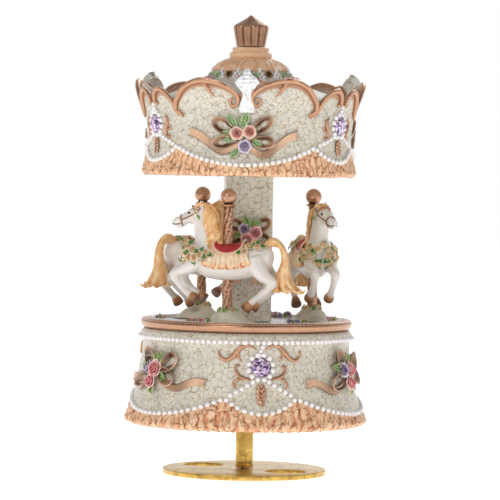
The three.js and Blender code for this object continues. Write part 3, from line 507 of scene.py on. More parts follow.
def one_bead():
    """A bead of 1 mm radius, made once and set many times."""
    bm = bmesh.new()
    bmesh.ops.create_uvsphere(bm, u_segments=10, v_segments=6, radius=1)
    shape = bpy.data.meshes.new("bead")
    bm.to_mesh(shape)
    bm.free()
    return shape


bead = one_bead()


def set_bead(bm, spot, radius):
    seat = Matrix.Translation(spot) @ Matrix.Scale(radius, 4)
    bead.transform(seat)
    bm.from_mesh(bead)
    bead.transform(seat.inverted())


def set_pearls(bm, wall, foot, places, radius=1.0, proud=0.45):
    """Sets pearls in a wall. Each place is an angle in degrees and a height above the foot."""
    for angle, height in places:
        reach = wall(height) + radius * proud
        turn = math.radians(angle)
        set_bead(bm, (reach * math.sin(turn), -reach * math.cos(turn), foot + height), radius)


def on_wall(points):
    """From (angle, height) to distances along the wall, to space pearls evenly."""
    return [(math.radians(a) * WALL_ROUND, h) for a, h in points]


def off_wall(points):
    return [(math.degrees(x / WALL_ROUND), h) for x, h in points]


pearl = pearl_lustre("bead_pearl")
BASE_STONE_HEIGHT = 24.7
BASE_HALO = 4.75
base_pearls = bmesh.new()
hem_line = [(a, base_hem(a) + 0.3) for a in np.linspace(0, 360, 721)[:-1]]
set_pearls(base_pearls, base_wall, BASE_FOOT, off_wall(evenly(on_wall(hem_line), 2.5)))
lip_line = [(a, 34.2) for a in np.linspace(0, 360, 361)[:-1]]
set_pearls(base_pearls, base_wall, BASE_FOOT, off_wall(evenly(on_wall(lip_line), 2.3)), 1.0, 0.35)
for third in range(3):
    centre = GEM_TURN + 120 * third
    for side in (-1, 1):
        strand_up = [(centre + side * 18.3, 12.9), (centre + side * 11, 16.0), (centre + side * 4.2, 19.2)]
        set_pearls(base_pearls, base_wall, BASE_FOOT, off_wall(evenly(on_wall(strand_up), 2.45))[1:])
    drop = [(centre + 2.4, 33.6), (centre + 0.2, 31.4), (centre - 0.6, 29.3)]
    set_pearls(base_pearls, base_wall, BASE_FOOT, off_wall(evenly(on_wall(drop), 1.75))[1:], 0.85)
    for spoke in range(12):
        turn = math.tau * (spoke + 0.5) / 12
        along = math.degrees(BASE_HALO * math.sin(turn) / WALL_ROUND)
        spot = [(centre + along, BASE_STONE_HEIGHT + BASE_HALO * math.cos(turn))]
        set_pearls(base_pearls, base_wall, BASE_FOOT, spot, 1.1, 0.5)
place_piece("base_pearls", base_pearls, pearl, "carousel")

# ------------------------------------------------------------------------------------------------
# Scrollwork on the base: cast leaves and tendrils painted antique rose gold, standing about 1 mm proud
# of the wall on each side of a stone, with a ribbed leaf hanging below it.


def smooth_path(points, steps=6):
    """A smooth path through points. Every number of a point is carried along, such as its radius."""
    p = np.array([points[0], *points, points[-1]], float)
    path = []
    for a, b, c, d in zip(p, p[1:], p[2:], p[3:]):
        for t in np.arange(steps) / steps:
            bend = 2 * b + (c - a) * t
            bend = bend + (2 * a - 5 * b + 4 * c - d) * t**2 + (3 * (b - c) + d - a) * t**3
            path.append(0.5 * bend)
    path.append(p[-1])
    return path


def tendril(bm, points, steps=6, sides=2):
    """A round tapered strand through (x, y, z, radius) points."""
    curve = bpy.data.curves.new("tendril", "CURVE")
    curve.dimensions = "3D"
    curve.bevel_depth = 1
    curve.bevel_resolution = sides
    curve.use_fill_caps = True
    line = curve.splines.new("POLY")
    path = smooth_path(points, steps)
    line.points.add(len(path) - 1)
    for point, (x, y, z, radius) in zip(line.points, path):
        point.co = (x, y, z, 1)
        point.radius = max(radius, 0.03)
    strand = bpy.data.objects.new("tendril", curve)
    shape = bpy.data.meshes.new_from_object(strand)
    bm.from_mesh(shape)
    bpy.data.objects.remove(strand)
    bpy.data.curves.remove(curve)
    bpy.data.meshes.remove(shape)


def scroll(bm, points, proud=0.1):
    """A flat scroll from (degrees, height, radius) points, for wrapping onto a wall."""
    across = math.radians(1) * WALL_ROUND
    tendril(bm, [(a * across, -proud - 0.25 * r, h, r) for a, h, r in points])


def gathered(target, source):
    """Moves one shape's mesh into another."""
    shape = bpy.data.meshes.new("gathered")
    source.to_mesh(shape)
    source.free()
    target.from_mesh(shape)
    bpy.data.meshes.remove(shape)


def sheet(bm, along, across, place, thick):
    """A sheet of cloth, petal or leaf. place gives the point for along (0 to 1) and across (-1 to 1)."""
    cloth = bmesh.new()
    paint = cloth.verts.layers.float_color.new("paint")
    bmesh.ops.create_grid(cloth, x_segments=along, y_segments=across, size=1)
    for v in cloth.verts:
        spot, colour = place((v.co.x + 1) / 2, v.co.y)
        v.co = spot
        v[paint] = colour
    bmesh.ops.recalc_face_normals(cloth, faces=cloth.faces)
    bmesh.ops.solidify(cloth, geom=cloth.faces, thickness=thick)
    gathered(bm, cloth)


def wrapped(flat, wall, angle, foot):
    """A copy of a flat relief (x along the wall, -y outwards, z up) bent round a wall."""
    bm = flat.copy()
    for v in bm.verts:
        reach = wall(v.co.z) - v.co.y
        turn = math.radians(angle) + v.co.x / WALL_ROUND
        v.co = (reach * math.sin(turn), -reach * math.cos(turn), foot + v.co.z)
    bmesh.ops.recalc_face_normals(bm, faces=bm.faces)
    return bm


def ribbed_leaf(bm, top, bottom, width):
    """A hanging leaf of overlapping ribs round a midrib."""
    def shape(t, s):
        swell = math.sin(math.pi * min(t * 0.86 + 0.1, 1)) ** 0.7
        ribs = 0.16 * math.sin(t * 26 + abs(s) * 5)
        spine = 0.55 * (1 - abs(s)) ** 0.6
        return (s * width / 2 * swell, -0.35 - spine - ribs * (1 - t), top + (bottom - top) * t), (1, 1, 1, 1)
    sheet(bm, 22, 10, shape, -0.45)


rose_gold = metal_finish("antique_rose_gold", pen(194, 148, 118), pen(60, 32, 20), 0.25, 0.8, 0.7, 0.9)
base_scrollwork = bmesh.new()
for side in (-1, 1):
    def mirrored(points):
        return [(side * a, h, r) for a, h, r in points]
    scroll(base_scrollwork, mirrored([
        (2.4, 31.5, 0.25), (5.2, 32.6, 0.5), (8.4, 32.8, 0.62), (11.2, 31.8, 0.85), (13.3, 30.1, 1.05),
        (15.8, 28.2, 0.95), (18.9, 27.3, 0.75), (21.4, 28.2, 0.6), (22.5, 30.0, 0.5), (22.1, 31.2, 0.3),
    ]))
    scroll(base_scrollwork, mirrored([
        (12.2, 30.6, 0.7), (11.9, 28.8, 0.6), (10.9, 27.4, 0.4), (9.8, 26.8, 0.15),
    ]))
    scroll(base_scrollwork, mirrored([
        (4.6, 20.0, 0.4), (8.2, 20.6, 0.6), (11.4, 21.6, 0.75), (13.0, 23.2, 0.6), (13.2, 24.9, 0.5),
        (12.2, 25.5, 0.4), (11.6, 24.8, 0.3),
    ]))
    scroll(base_scrollwork, mirrored([
        (8.6, 20.7, 0.5), (11.6, 20.2, 0.6), (13.6, 18.9, 0.55), (13.9, 17.4, 0.45), (12.7, 16.8, 0.3),
    ]))
ribbed_leaf(base_scrollwork, 18.3, 10.7, 3.2)
all_scrolls = bmesh.new()
for third in range(3):
    gathered(all_scrolls, wrapped(base_scrollwork, base_wall, GEM_TURN + 120 * third, BASE_FOOT))
base_scrollwork.free()
place_piece("base_scrolls", all_scrolls, rose_gold, "carousel")

# ------------------------------------------------------------------------------------------------
# Stones: round foil-backed amethyst glass, cut with a table and two rows of facets. The small rose-gold cup
# that holds each one on the real piece is not built here. There is one stone above each small scallop of the
# base.


def cut_stone(bm, radius, depth, turn=0.0):
    """A brilliant-cut stone, face up along -Y, with its flat back at y = 0."""
    girdle = bmesh.ops.create_circle(bm, segments=16, radius=radius)["verts"]
    back = bmesh.ops.create_circle(
        bm, segments=16, radius=radius * 0.96, matrix=Matrix.Translation((0, 0, -0.35))
    )["verts"]
    shoulder = bmesh.ops.create_circle(
        bm, segments=8, radius=radius * 0.8,
        matrix=Matrix.Translation((0, 0, depth * 0.62)) @ Matrix.Rotation(math.radians(22.5), 4, "Z"),
    )["verts"]
    table = bmesh.ops.create_circle(
        bm, segments=8, radius=radius * 0.55, matrix=Matrix.Translation((0, 0, depth))
    )["verts"]
    points = girdle + back + shoulder + table
    bmesh.ops.delete(bm, geom=bm.edges[:], context="EDGES_FACES")
    bmesh.ops.convex_hull(bm, input=points)
    bmesh.ops.rotate(bm, verts=points, cent=(0, 0, 0), matrix=Matrix.Rotation(turn, 3, "Z"))
    bmesh.ops.rotate(bm, verts=points, cent=(0, 0, 0), matrix=Matrix.Rotation(math.radians(90), 3, "X"))
    bmesh.ops.translate(bm, verts=points, vec=(0, -0.4, 0))


def amethyst_finish():
    """Foiled glass: each facet is painted its own violet, from near white to deep purple. The deep purple is
    the glass's colour; the paler facets are a painted sparkle of light off the cut.
    """
    finish, tree, shader, place = new_finish("amethyst_glass", 0.06, metallic=0.35, coat=1.0, specular=0.9)
    facets = wire(tree, "ShaderNodeTexVoronoi", {"Vector": place, "Scale": 1.25}).outputs["Color"]
    shade = wire(tree, "ShaderNodeSeparateColor", {0: facets}).outputs[0]
    # Painted sparkle: the palest facets stand in for glints of light.
    tone = ramp(
        tree, shade, (0.12, pen(66, 34, 82)), (0.42, pen(148, 104, 166)), (0.64, pen(204, 172, 212)),
        (0.85, pen(246, 236, 248)),
    )
    tree.links.new(tone, shader.inputs["Base Color"])
    emboss(tree, shader, shade, 0.5, 0.0005)
    return finish


amethyst = amethyst_finish()


def set_stone(name, wall, angle, height, foot, radius, stands_for):
    """Places one stone so that its girdle clears the wall behind it."""
    stone = bmesh.new()
    cut_stone(stone, radius, 1.5, 0.2)
    lean = math.atan2(wall(height + 2) - wall(height - 2), 4)
    bmesh.ops.rotate(stone, verts=stone.verts, cent=(0, 0, 0), matrix=Matrix.Rotation(lean, 3, "X"))
    bmesh.ops.translate(stone, verts=stone.verts, vec=(0, -wall(height) - 0.25, foot + height))
    bmesh.ops.rotate(
        stone, verts=stone.verts, cent=(0, 0, 0), matrix=Matrix.Rotation(math.radians(angle), 3, "Z")
    )
    bmesh.ops.recalc_face_normals(stone, faces=stone.faces)
    place_piece(name, stone, amethyst, "carousel", [stands_for], crease=1)


for third in range(3):
    number = third + 1
    set_stone(
        f"base_stone_{number}", base_wall, GEM_TURN + 120 * third, BASE_STONE_HEIGHT, BASE_FOOT, 3.75,
        f"base_gem_{number}",
    )

# ------------------------------------------------------------------------------------------------
# Bows of roses on the base: cast resin ribbons painted rose gold, with two loops on each side and a
# forked tail that runs along the wall, and hand-painted roses and leaves over the knot.


def painted_finish(name, roughness=0.4, coat=0.35, speckle=0.12, tooth=0.2):
    """Hand-painted resin: the colour of each point is its paint, a little uneven under a satin coat."""
    finish, tree, shader, place = new_finish(name, roughness, coat=coat)
    paint = wire(tree, "ShaderNodeAttribute", attribute_name="paint").outputs["Color"]
    fine = grain(tree, place, 1.6, 3.0).outputs["Fac"]
    uneven = wire(tree, "ShaderNodeMapRange", {0: fine, 1: 0.3, 2: 0.7, 3: 1 - speckle * 2, 4: 1 + speckle})
    toned = wire(tree, "ShaderNodeVectorMath", {0: paint, 3: uneven.outputs[0]}, operation="SCALE")
    tree.links.new(toned.outputs[0], shader.inputs["Base Color"])
    emboss(tree, shader, grain(tree, place, 2.2, 3).outputs["Fac"], tooth)
    return finish


def mixed(first, second, amount):
    amount = min(max(amount, 0), 1)
    return tuple(a + (b - a) * amount for a, b in zip(first, second))


ROSE_RED = (pen(224, 36, 56), pen(252, 230, 208))
ROSE_PINK = (pen(232, 96, 118), pen(252, 214, 208))
ROSE_LAVENDER = (pen(98, 62, 140), pen(238, 226, 240))
LEAF_GREEN = (pen(12, 92, 24), pen(196, 212, 116))


def rose(bm, centre, size, paints, tilt=0.0, seed=0):
    """A small open rose facing -Y: a rolled heart inside two rows of turned-back petals."""
    heart, tip = paints
    place = Matrix.Translation(centre) @ Matrix.Rotation(tilt, 4, "Z")
    place = place @ Matrix.Rotation(math.radians(90), 4, "X") @ Matrix.Rotation(seed * 1.7, 4, "Z")
    place = place @ Matrix.Scale(size, 4)

    def rolled(t, s):
        turn = 0.4 + 2.2 * math.tau * t
        rise = (s + 1) / 2
        reach = 0.07 + 0.42 * t + 0.07 * rise
        height = 0.12 + (0.74 - 0.24 * t) * rise
        spot = place @ Vector((reach * math.cos(turn), reach * math.sin(turn), height))
        return spot, mixed(heart, tip, rise**3 * (0.15 + 0.7 * t))
    sheet(bm, 30, 2, rolled, 0.05 * size)
    petal_rows = ((4, 0.4, 0.78, 0.1, 0.56, 1.02), (5, 0.5, 1.02, 0.0, 0.3, 0.9))
    for count, inner, outer, low, high, spread in petal_rows:
        for petal in range(count):
            start = math.tau * petal / count + count
            def petal_shape(t, s, start=start):
                turn = start + s * spread * (1 - 0.25 * t * t)
                reach = inner + (outer - inner) * t**0.8 - 0.13 * s * s * t
                rise = low + (high - low) * math.sin(t * math.pi / 2) - 0.2 * max(t - 0.6, 0)
                rise += 0.05 * s + 0.03 * math.sin(3 * s + start)
                spot = place @ Vector((reach * math.cos(turn), reach * math.sin(turn), rise))
                return spot, mixed(heart, tip, (0.05 if count == 4 else 0.55) + 0.65 * t + 0.15 * abs(s) * t)
            sheet(bm, 5, 6, petal_shape, 0.06 * size)


def leaf(bm, base, tip, width, lift=0.6, paints=LEAF_GREEN):
    """A serrated rose leaf from its stalk to its tip, folded along a dark midrib, pale at its edge."""
    base, tip = Vector(base), Vector(tip)
    along = tip - base
    sideways = Vector((0, -1, 0)).cross(along).normalized()

    def shape(t, s):
        swell = math.sin(math.pi * min(0.06 + 0.94 * t, 1)) ** 0.75
        tooth = 1 + 0.24 * ((t * 6) % 1 - 0.5) * (abs(s) > 0.9)
        spot = base + along * (t - 0.08 * abs(s) * swell) + sideways * (s * width / 2 * swell * tooth)
        raised = lift * math.sin(math.pi * t * 0.8) + 0.34 * abs(s) * width / 2 * swell
        spot.y -= raised + 0.06 * math.sin(t * 38) * abs(s)
        vein = 0.35 * (math.sin(t * 38) > 0.2) * (0.2 < abs(s) < 0.85)
        return spot, mixed(paints[0], paints[1], 0.95 * (abs(s) > 0.9) + vein + 0.5 * (abs(s) < 0.12))
    sheet(bm, 18, 6, shape, -0.28)


def loop(bm, root, tip, width, depth, shade_to_highlight):
    """One loop of a bow: a ribbon that runs out from the knot and back, standing on its edge. It is painted
    darker across its middle and lighter at its edges and twice round its turn: painted shade and painted
    highlight.
    """
    root, tip = Vector(root), Vector(tip)
    along = tip - root
    sideways = Vector((0, -1, 0)).cross(along).normalized()

    def shape(t, s):
        turn = math.tau * t
        out = (1 - math.cos(turn)) / 2
        side = math.sin(turn) * width / 2 * (0.35 + 0.75 * out)
        spot = root + along * out + sideways * side
        outward = along * (out - 0.55) + sideways * side
        spot += outward * (0.5 * s * min(depth, width) / max(outward.length, 0.6))
        spot.y -= depth / 2 + s * depth / 2 * (0.7 + 0.3 * out)
        # Painted light: lighter at the ribbon's edges and twice round the loop, painted shade between.
        return spot, mixed(shade_to_highlight[0], shade_to_highlight[1], 0.2 + 0.45 * abs(s) ** 3 + 0.3 * math.sin(turn * 2 + 0.6))
    sheet(bm, 30, 4, shape, 0.5)


def tail(bm, points, width, shade_to_highlight, fork=1.3):
    """A ribbon tail that lies face out along (x, z) points and ends in a fork. Its paint lightens and darkens
    with its waves and is darker along one edge: painted light and painted shade.
    """
    path = smooth_path(points, 8)

    def shape(t, s):
        place = t * (len(path) - 1)
        i = min(int(place), len(path) - 2)
        here = path[i] + (path[i + 1] - path[i]) * (place - i)
        ahead = path[i + 1] - path[i]
        along = Vector((ahead[0], 0, ahead[1])).normalized()
        sideways = Vector((-along.z, 0, along.x))
        wide = width / 2 * (0.55 + 0.45 * min(t * 2.5, 1))
        spot = Vector((here[0], 0, here[1])) + sideways * s * wide
        if t > 0.9:
            spot -= along * fork * (1 - abs(s)) * (t - 0.9) * 10
            spot += sideways * s * 0.35 * (t - 0.9) * 10
        spot.y -= 0.75 + 0.55 * math.sin(t * 8.5) * (1 - 0.6 * t) + 0.25 * s * math.cos(t * 8.5)
        # Painted light and shade: brighter and darker with the waves, and a painted shade along one edge.
        return spot, mixed(shade_to_highlight[0], shade_to_highlight[1], 0.75 + 0.25 * math.sin(t * 8.5 + 1) - 0.65 * (s > 0.8))
    sheet(bm, 34, 6, shape, -0.5)


def painted_shape():
    """An empty shape whose points each carry their own paint."""
    bm = bmesh.new()
    bm.verts.layers.float_color.new("paint")
    return bm


# The ribbon's rose gold, from its painted shade to its painted highlight.
RIBBON_SHADE_TO_HIGHLIGHT = (pen(84, 50, 26), pen(226, 182, 146))
painted_bow = painted_finish("painted_bow", 0.33, 0.5)


def base_bow():
    """The flat relief of one base bow, centred on its knot at 19.8 mm above the hem."""
    bm = painted_shape()
    for root, tip, width in (
        ((2.6, -0.4, 22.6), (10.6, -0.6, 27.4), 5.4), ((1.8, -0.4, 22.8), (10.0, -0.6, 18.6), 4.8),
        ((-1, -0.4, 22), (-6.2, -0.6, 29.6), 4.4), ((-1, -0.4, 20.8), (-11.6, -0.6, 17.2), 4.6),
    ):
        loop(bm, root, tip, width, 2.2, RIBBON_SHADE_TO_HIGHLIGHT)
    tail(bm, [(2, 18.6), (7, 16.9), (12, 15.9), (16.5, 17.6), (21, 18.8), (25, 18.0)], 2.9, RIBBON_SHADE_TO_HIGHLIGHT)
    tail(bm, [(-2, 18.2), (-7, 16.2), (-12, 15.2), (-16.5, 17.2), (-21, 18.6), (-25, 18.0)], 2.9, RIBBON_SHADE_TO_HIGHLIGHT)
    for base, tip, width in (
        ((1.5, -1, 24.6), (4.4, -0.9, 28.8), 3.2), ((-5, -1, 23.8), (-10.4, -0.7, 24.4), 3.2),
        ((3.2, -1, 20.4), (6.6, -0.8, 19.0), 3.4), ((-0.6, -1, 16.6), (0.6, -0.8, 12.9), 3.0),
        ((0.4, -1, 25), (0.2, -0.9, 29.4), 3.2), ((-0.4, -1, 25), (-2.6, -0.9, 28.4), 2.6),
    ):
        leaf(bm, base, tip, width)
    rose(bm, (0.7, -1.7, 22.9), 3.5, ROSE_PINK, 0.1, 1)
    rose(bm, (-0.6, -1.8, 18.0), 3.1, ROSE_PINK, -0.1, 2)
    rose(bm, (-4.0, -1.3, 23.0), 3.0, ROSE_LAVENDER, -0.4, 3)
    return bm


flat_bow = base_bow()
for third in range(3):
    bow = wrapped(flat_bow, base_wall, -54 + 120 * third, BASE_FOOT)
    number = third + 1
    place_piece(
        f"base_bow_{number}", bow, painted_bow, "carousel", [f"base_spray_{number}"], crease=60
    )
flat_bow.free()

# ------------------------------------------------------------------------------------------------
# Rim and deck: a rose-gold resin band round the top of the base, and inside it a deck of white glitter
# snow with a row of small beads along its edge and clusters of painted roses.

rim_low, rim_high = node_box("rim_ring")
RIM = rim_high.x
band = bmesh.new()
spun(band, [
    (RIM - 3, rim_low.z), (RIM - 1.5, rim_low.z), (RIM - 0.95, rim_low.z + 0.2),
    (RIM - 0.45, rim_low.z + 0.7), (RIM - 0.15, rim_low.z + 1.4), (RIM, rim_low.z + 2.1),
    (RIM - 0.05, rim_high.z - 1.05), (RIM - 0.3, rim_high.z - 0.75), (RIM - 0.25, rim_high.z - 0.55),
    (RIM - 0.4, rim_high.z - 0.2), (RIM - 0.9, rim_high.z),
    (RIM - 2.3, rim_high.z), (RIM - 2.8, rim_high.z - 0.3), (RIM - 3, rim_high.z - 0.9),
], 240)
place_piece("rim_band", band, rose_gold, "carousel", ["rim_ring"])


def glitter_snow():
    """White resin dusted with fine glitter: tiny facets, each painted its own white as a painted sparkle, and
    tilted by a bump, so that each catches the light its own way.
    """
    finish, tree, shader, place = new_finish("glitter_snow", 0.3, coat=0.6)
    flakes = wire(tree, "ShaderNodeTexVoronoi", {"Vector": place, "Scale": 2.6})
    shade = wire(tree, "ShaderNodeSeparateColor", {0: flakes.outputs["Color"]}).outputs[0]
    # Painted sparkle: each flake's white stands in for the light it catches.
    tone = ramp(tree, shade, (0.05, pen(206, 208, 216)), (0.4, pen(240, 238, 240)), (0.8, pen(255, 252, 250)))
    tree.links.new(tone, shader.inputs["Base Color"])
    emboss(tree, shader, shade, 0.8, 0.0006)
    return finish


snow = glitter_snow()
deck_low, deck_high = node_box("deck")
deck_edge = deck_high.x
deck = bmesh.new()
spun(deck, [(0, deck_high.z)] + [(deck_edge * i / 26, deck_high.z) for i in range(1, 26)] + [
    (deck_edge - 0.3, deck_high.z), (deck_edge, deck_high.z - 0.3), (deck_edge, deck_low.z + 0.2),
    (deck_edge - 0.2, deck_low.z), (0, deck_low.z),
], 160, closed=False)
for v in deck.verts:
    if v.co.z > deck_high.z - 0.1:
        bump = noise.noise((v.co.x * 0.5, v.co.y * 0.5, 3))
        bump += 0.5 * noise.noise((v.co.x * 1.7, v.co.y * 1.7, 5))
        v.co.z += 0.28 * bump - 0.1
place_piece("deck_snow", deck, snow, "carousel", ["deck"])

deck_beads = bmesh.new()
for step in range(150):
    turn = math.tau * step / 150
    reach = deck_edge - 1.3
    set_bead(deck_beads, (reach * math.cos(turn), reach * math.sin(turn), deck_high.z + 0.5), 0.72)
place_piece("deck_beads", deck_beads, pearl, "carousel")

painted_flowers = painted_finish("painted_flowers", 0.36, 0.4)
CREAM_FLOWER = (pen(222, 168, 96), pen(250, 236, 204))
ROSE_PURPLE = (pen(84, 46, 120), pen(214, 186, 216))
ROSE_MAUVE = (pen(206, 104, 148), pen(246, 208, 218))


def moved(source, matrix):
    bmesh.ops.transform(source, matrix=matrix, verts=source.verts)
    return source


def standing(x, y, z, turn, lean):
    """Stands a flower that faces the front on the deck, leaning back to face the sky."""
    place = Matrix.Translation((x, y, z)) @ Matrix.Rotation(turn, 4, "Z")
    return place @ Matrix.Rotation(lean, 4, "X")


def posy(bm, angle, reach, height, blooms, greens, seed):
    """A cluster of small roses and leaves low on the deck, facing outwards."""
    pick = random.Random(seed)
    for i, paints in enumerate(blooms):
        a = math.radians(angle + (i - (len(blooms) - 1) / 2) * 5.2)
        r = reach + pick.uniform(-1.1, 1.1)
        flower = bmesh.new()
        rose(flower, (0, 0, 0), pick.uniform(1.45, 1.9), paints, pick.uniform(-0.3, 0.3), i + seed)
        spot = standing(r * math.sin(a), -r * math.cos(a), height + pick.uniform(0.5, 1.3), a, -0.55)
        gathered(bm, moved(flower, spot))
    for i in range(greens):
        a = math.radians(angle + (i - (greens - 1) / 2) * 6.0 + 2)
        green = bmesh.new()
        leaf(green, (0, 0, 0), (pick.uniform(-1.5, 1.5), 0, 2.6), 1.7, 0.3)
        turn = a + pick.uniform(-0.6, 0.6)
        spot = standing(reach * math.sin(a), -reach * math.cos(a), height + 0.3, turn, 0.5)
        gathered(bm, moved(green, spot))


deck_posies = painted_shape()
pinks = [ROSE_PINK, ROSE_MAUVE, ROSE_PINK]
violets = [ROSE_PURPLE, ROSE_LAVENDER, ROSE_MAUVE]
for third in range(3):
    posy(deck_posies, -36 + 120 * third, 33.2, deck_high.z, pinks, 3, 11 + third)
    posy(deck_posies, 36 + 120 * third, 33.4, deck_high.z, violets, 3, 21 + third)
place_piece("deck_posies", deck_posies, painted_flowers, "carousel")

# ------------------------------------------------------------------------------------------------
# Column: a square cream post with softened corners that carries the canopy. It has the same crackle
# glaze, and a bow of roses with two long ribbon tails on its front.

column_low, column_high = node_box("column")
column_turn = math.radians(3)
half_side = 9.2
post_shape = bmesh.new()
bmesh.ops.create_cube(post_shape, size=1)
column_size = (half_side * 2, half_side * 2, column_high.z - column_low.z)
bmesh.ops.scale(post_shape, vec=column_size, verts=post_shape.verts)
bmesh.ops.translate(post_shape, verts=post_shape.verts, vec=(0, 0, (column_high.z + column_low.z) / 2))


def climb_of(edge):
    return abs(edge.verts[0].co.z - edge.verts[1].co.z)


corners = [e for e in post_shape.edges if climb_of(e) > 1]
bmesh.ops.bevel(
    post_shape, geom=corners, offset=1.4, offset_type="OFFSET", affect="EDGES", segments=4, profile=0.5,
    material=-1,
)
rings = [e for e in post_shape.edges if climb_of(e) > 1]
bmesh.ops.subdivide_edges(post_shape, edges=rings, cuts=60, use_grid_fill=True)
across = [e for e in post_shape.edges if climb_of(e) < 0.01 and e.calc_length() > 4]
bmesh.ops.subdivide_edges(post_shape, edges=across, cuts=14, use_grid_fill=True)
for v in post_shape.verts:
    if column_low.z + 0.1 < v.co.z < column_high.z - 0.1:
        wave = 0.1 * noise.noise(v.co * 0.12) + 0.05 * noise.noise(v.co * 0.5)
        out = Vector((v.co.x, v.co.y, 0)).normalized()
        v.co += out * wave
bmesh.ops.rotate(
    post_shape, verts=post_shape.verts, cent=(0, 0, 0), matrix=Matrix.Rotation(column_turn, 3, "Z")
)
column_glaze = crackle_glaze("column_crackle_glaze", 2.6)
place_piece("column_post", post_shape, column_glaze, "carousel", ["column"], crease=35)

column_bow = painted_shape()
for root, tip, width in (
    ((1.4, -0.3, 95.6), (7.4, -0.4, 99.4), 3.8), ((1.4, -0.3, 94.4), (7.2, -0.4, 91.8), 3.4),
    ((-1.4, -0.3, 95.6), (-7.2, -0.4, 99.2), 3.8), ((-1.4, -0.3, 94.4), (-7.0, -0.4, 92.0), 3.4),
):
    loop(column_bow, root, tip, width, 1.8, RIBBON_SHADE_TO_HIGHLIGHT)
tail(column_bow, [(-1.0, 93), (-2.4, 89), (-2.0, 85), (-3.6, 80), (-4.6, 74.5)], 2.6, RIBBON_SHADE_TO_HIGHLIGHT, 1.0)
tail(column_bow, [(0.8, 93), (2.0, 89), (1.4, 85), (2.8, 80), (2.2, 74.3)], 2.6, RIBBON_SHADE_TO_HIGHLIGHT, 1.0)
for base, tip, width in (
    ((-0.6, -1.2, 97.4), (-2.2, -1.0, 101.6), 2.6), ((0.4, -1.2, 97), (1.6, -1.0, 100.8), 2.6),
    ((1.8, -1.2, 97.2), (4.6, -1.0, 100.2), 2.4), ((-3, -1.0, 94.4), (-6.2, -0.8, 93.4), 2.4),
    ((0.8, -1.0, 91.4), (2.4, -0.8, 88.8), 2.2), ((-2.4, -1.0, 91.6), (-3.8, -0.8, 89.4), 2.2),
):
    leaf(column_bow, base, tip, width, 0.5)
rose(column_bow, (-1.9, -1.2, 96.4), 2.5, ROSE_LAVENDER, 0.1, 4)
rose(column_bow, (2.4, -1.3, 95.0), 2.8, ROSE_PINK, -0.1, 5)
rose(column_bow, (-0.9, -1.7, 92.4), 2.7, ROSE_PINK, 0.0, 6)
front_of_column = Matrix.Rotation(column_turn, 4, "Z")
front_of_column = front_of_column @ Matrix.Translation((0, -half_side - 0.05, 0))
bmesh.ops.transform(column_bow, matrix=front_of_column, verts=column_bow.verts)
place_piece("column_bow", column_bow, painted_bow, "carousel", ["column_spray"], crease=60)

# ------------------------------------------------------------------------------------------------
# Poles: rose-gold rods cast with a rough spiral, a flared collar and a round ball, each standing on a
# small cream hill with painted flowers at its foot. One pole carries one horse.

POLE_REACH = 26.5
POLE_TURN = -16.6
pole_low, pole_high = node_box("pole_1")
mound_low, mound_high = node_box("mound_1")
cream_hill = plain_resin("cream_hill", pen(222, 216, 196), pen(196, 190, 166), 0.55)


def at_pole(third):
    """From a shape standing at the origin to the place of one pole."""
    turn = Matrix.Rotation(math.radians(POLE_TURN + 120 * third), 4, "Z")
    return turn @ Matrix.Translation((0, -POLE_REACH, 0))


def pole_shape(seed):
    """A turned rod whose surface is pulled into three twisted strands."""
    bm = bmesh.new()
    ball = pole_high.z - 3.15
    rod_top = ball - 4.4
    outline = [(0, pole_low.z)] + [(1.85, pole_low.z + (rod_top - pole_low.z) * i / 110) for i in range(111)]
    outline += [
        (2.1, rod_top + 0.3), (2.95, rod_top + 0.9), (3.05, rod_top + 1.15), (2.6, rod_top + 1.35),
        (1.9, rod_top + 1.6), (1.75, rod_top + 1.9),
    ]
    outline += [
        (3.15 * math.sin(a), ball - 3.15 * math.cos(a)) for a in np.linspace(0.62, math.pi, 16)[:-1]
    ] + [(0, pole_high.z)]
    spun(bm, outline, 40, closed=False)
    for v in bm.verts:
        reach = math.hypot(v.co.x, v.co.y)
        if reach < 0.5:
            continue
        if v.co.z < rod_top + 0.1:
            twist = math.atan2(v.co.y, v.co.x) * 3 - v.co.z * 0.55 + 1.3 * noise.noise(v.co * 0.35)
            rough = noise.noise(v.co * 1.3 + Vector((seed, 0, 0)))
            change = 0.2 * abs(math.sin(twist)) - 0.1 + 0.22 * rough
        else:
            change = 0.1 * noise.noise(v.co * 0.8)
        v.co.x *= 1 + change / reach
        v.co.y *= 1 + change / reach
    return bm


def mound_shape(seed):
    """A low hill, a little lumpy, that flattens out at the deck."""
    bm = bmesh.new()
    hill = mound_high.z - mound_low.z
    outline = [(0, mound_low.z)]
    for t in steps_up(0, 1, 16):
        climb = 0.5 - 0.5 * math.cos(math.pi * t**0.85)
        outline.append((8.4 * (1 - t) + 1.9 * t, mound_low.z + hill * climb))
    outline.append((0, mound_high.z))
    spun(bm, outline, 56, closed=False)
    for v in bm.verts:
        if v.co.z > mound_low.z + 0.2:
            v.co.z += 0.45 * noise.noise(v.co * 0.4 + Vector((seed, 2, 0))) - 0.1
            v.co.x += 0.35 * noise.noise(v.co * 0.5 + Vector((0, seed, 4)))
        spread = 1 - (v.co.z - mound_low.z) / hill
        v.co.x = v.co.x * (1 + 0.38 * spread) + 1.7 * spread
    return bm


